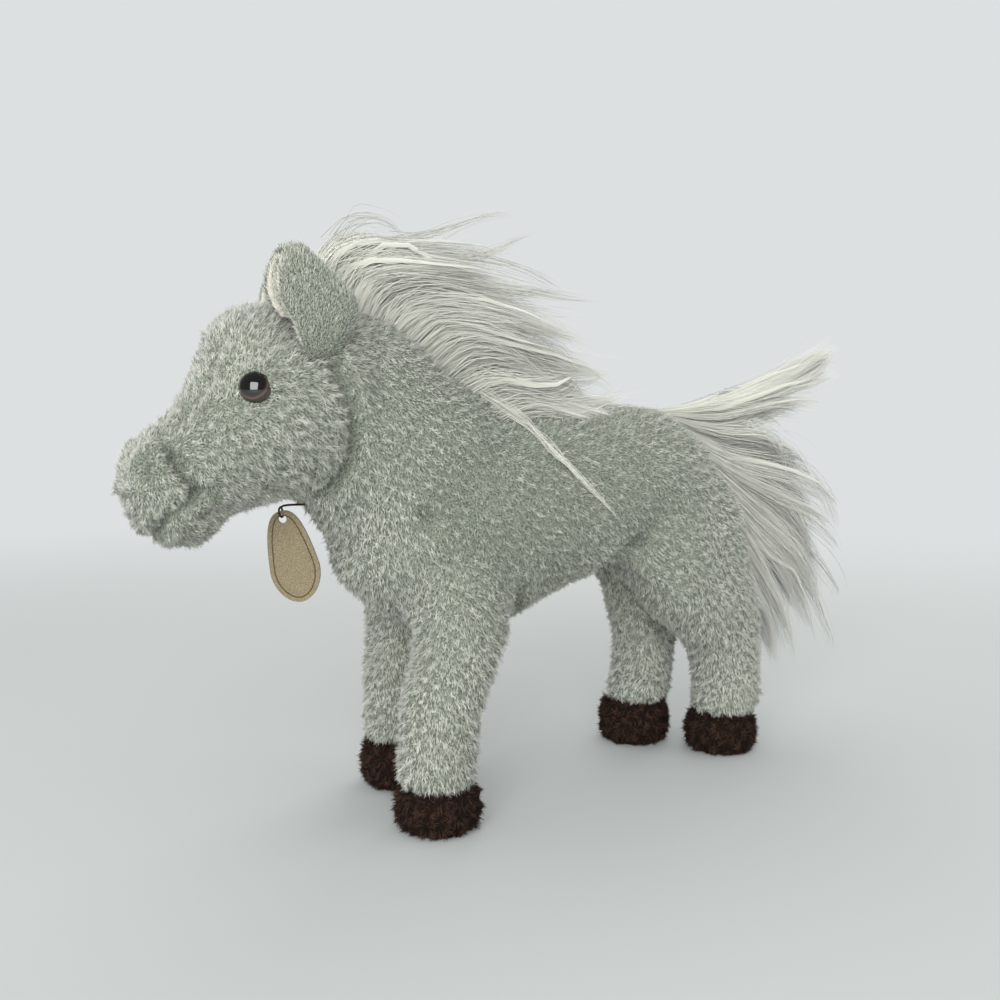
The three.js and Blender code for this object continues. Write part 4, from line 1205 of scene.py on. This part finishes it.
# %% The tail's ways, in mm along X and Z, from the root to the tip, from its top lock downwards
tail_guides = np.array([
    [(63, 167), (91, 170), (126, 178), (161, 187), (192, 201)],
    [(63, 166.5), (95, 168), (128, 172), (156, 181), (187, 193)],
    [(63.5, 166), (96, 162), (118, 167), (136, 165), (145, 154)],
    [(64, 165.5), (98, 155), (128, 153), (152, 148), (171, 135)],
    [(64.5, 165), (100, 148), (133, 142), (163, 137), (184, 118)],
    [(65, 164.5), (101, 141), (134, 128), (166, 114), (188, 96)],
    [(65.5, 164), (101, 135), (134, 113), (168, 93), (186, 66)],
    [(66, 163.5), (99, 130), (129, 98), (159, 78), (177, 44)],
    [(66.5, 163), (97, 124), (124, 88), (147, 64), (161, 40)],
    [(67, 162), (94, 118), (118, 80), (136, 58), (144, 40)],
])
tail_half = 15 * MM


def tail_paths(places, asides, tip_shift, reach, steps):
    """Paths of threads at places down the fan, aside by a share of the tuft's half width."""
    flat = between(tail_guides, places) * MM
    side = asides[:, None] * np.array((0.25, 0.75, 1.0, 0.9, 0.6))[None] * tail_half
    return drawn(flat[:, :, 0], side, flat[:, :, 1], tip_shift, reach, steps)


def tail_outs(asides):
    """Which way is out of the tail for threads aside of its middle."""
    return np.stack([0 * asides, asides * 0.6 - 0.35, 0.6 + 0 * asides], 1)


# %% Tail
rng = np.random.default_rng(17)
lock_count, thread_count, steps = 76, 7600, 8
top_locks, last_place = 14, 8.99
lock_places = np.concatenate([
    rng.uniform(0, 1, top_locks), rng.uniform(1.3, last_place, lock_count - top_locks),
])
lock_asides = rng.uniform(-1, 1, lock_count)
lock_shift = rng.normal(size=(lock_count, 3)) * np.array((6, 3, 6)) * MM
lock_shift[:, 0] = np.minimum(lock_shift[:, 0], 5 * MM)
lock_shift[:top_locks] *= 0.35
lock_paths = tail_paths(lock_places, lock_asides, lock_shift, 1.0, steps)
lock_paths = waved(lock_paths, 4.4 * MM, 0.6, 1.6, rng)
chosen = rng.integers(0, lock_count, thread_count)
spread = rng.normal(size=(thread_count, 4))
loose = rng.random(thread_count) < 0.05
asides = np.clip(lock_asides[chosen] + spread[:, 1] * 0.3, -1.15, 1.15)
own = tail_paths(
    np.clip(lock_places[chosen] + spread[:, 0] * 0.3, 0, last_place),
    asides,
    lock_shift[chosen] + rng.normal(size=(thread_count, 3)) * np.array((5, 3, 6)) * MM,
    np.where(loose, 1.02, 0.5 + 0.5 * rng.random(thread_count) ** 1.5),
    steps,
)
hold = np.where(loose, 0.25, np.where(chosen < top_locks, 0.88, 0.8))
tail_pieces, tail_cores = hair_mass(
    "tail", own, lock_paths, chosen, hold, lock_places, spread[:, 3],
    tail_outs(asides), tail_outs(lock_asides), rng,
)
tail_wisps = wisps(
    "tail_wisps",
    [
        [(110, 175), (150, 180), (178, 191), (193, 197), (203, 201)],
        [(140, 144), (171, 137), (190, 122), (200, 106), (203, 99)],
        [(148, 121), (174, 110), (192, 100), (201, 93), (204, 89)],
        [(156, 101), (181, 87), (197, 73), (203, 65), (198, 62)],
        [(153, 82), (178, 68), (191, 51), (199, 38), (200, 30)],
    ],
    16,
    32,
)

# %% Mane and tail stand for the frame's forms
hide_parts("mane")
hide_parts("tail")
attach(stray, "torso")
for piece in [*mane_pieces, mane_cores, mane_wisps]:
    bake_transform(piece)
for piece in [*tail_pieces, tail_cores, tail_wisps]:
    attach(piece, "tail")

# %% [markdown]
# ## Tag, thread and washers
#
# The tag is two drop-shaped leaves of card with a suede finish, tan and a little rubbed, on a
# loop of brown thread. The washers inside the head are natural nylon.

# %% Tag finish
suede, tree = new_material("suede_finish_card_tan")
nap = noise(tree, 0.5 * MM, 4)
tan = ramp(tree, nap, [(0.3, "#74694F"), (0.5, "#877B63"), (0.7, "#9A8E76")])
surface(tree, tan, 0.85, Sheen_Weight=0.2, Normal=bumped(tree, nap, 0.15 * MM))

# %% Pressed line round the face of the tag
tag = frame["nodes"]["hang_tag"]
tag_face = np.array((-0.5592, -0.8290, 0.0))
tag_points = points_of(tag)
height = tag_points @ tag_face
rim = tag_points[height > height.max() - 0.05 * MM]
flat_across = np.cross((0, 0, 1), tag_face)
middle = rim.mean(0)
places = np.stack([(rim - middle) @ flat_across, rim[:, 2] - middle[2]], 1)
# The reach of the leaf along each way, and how fast it changes, give the convex outline again.
turns = np.linspace(-math.pi, math.pi, 60, endpoint=False)
edge_gap = 1.9 * MM
ways = np.stack([np.cos(turns), np.sin(turns)])
reach = (places @ ways).max(0) - edge_gap
slope = (np.roll(reach, -1) - np.roll(reach, 1)) / (2 * (turns[1] - turns[0]))
ring = np.stack([
    reach * np.cos(turns) - slope * np.sin(turns),
    reach * np.sin(turns) + slope * np.cos(turns),
], 1)
line = bpy.data.curves.new("tag_pressed_line", "CURVE")
line.dimensions = "3D"
line.bevel_depth = 0.25 * MM
line.bevel_resolution = 1
spline = line.splines.new("POLY")
spline.points.add(len(ring) - 1)
for point, (x, z) in zip(spline.points, ring):
    place = middle + flat_across * x + np.array((0, 0, z)) + tag_face * 0.02 * MM
    point.co = (*place, 1)
spline.use_cyclic_u = True
only(in_scene("tag_pressed_line", line))
bpy.ops.object.convert(target="MESH")
tag_line = bpy.context.object
pressed_suede, tree = new_material("pressed_suede_edge_brown")
worn = ramp(tree, noise(tree, 0.6 * MM, 3), [(0.35, "#4E432F"), (0.65, "#665A43")])
surface(tree, worn, 0.8)
tag_line.data.materials.append(pressed_suede)
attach(tag_line, "tag")
print("tag line:", len(tag_line.data.polygons), "faces")

# %% Thread and washer finishes
thread_finish, tree = new_material("twisted_cotton_thread_brown")
place = add(tree, "ShaderNodeTexCoord").outputs["Object"]
inputs = {"Vector": place, "Scale": 1 / (2 * MM)}
twist = add(tree, "ShaderNodeTexWave", inputs, bands_direction="DIAGONAL").outputs["Fac"]
shades = ramp(tree, twist, [(0.2, "#2B1E15"), (0.8, "#4E3A2A")])
surface(tree, shades, 0.8)

nylon_finish, tree = new_material("moulded_nylon_natural")
milk = ramp(tree, noise(tree, 3 * MM, 2), [(0.3, "#DEDCD2"), (0.7, "#EAE8E0")])
surface(tree, milk, 0.45, 0.5, IOR=1.53)

# %% Finishes for the frame's own pieces
for node, finish in (
    ("hang_tag", suede),
    ("hang_tag_back", suede),
    ("tag_loop", thread_finish),
    ("left_eye_washer", nylon_finish),
    ("right_eye_washer", nylon_finish),
):
    slots = frame["nodes"][node].data.materials
    slots.clear()
    slots.append(finish)

# %% [markdown]
# ## Finish
#
# The skin was only a pattern, so it goes. The triangles of all pieces shown are counted and
# printed.

# %% Finish
bpy.data.objects.remove(skin)
shown = [o for o in bpy.data.objects if o.type == "MESH" and not o.hide_render]
print("triangles:", sum(len(o.data.polygons) for o in shown))
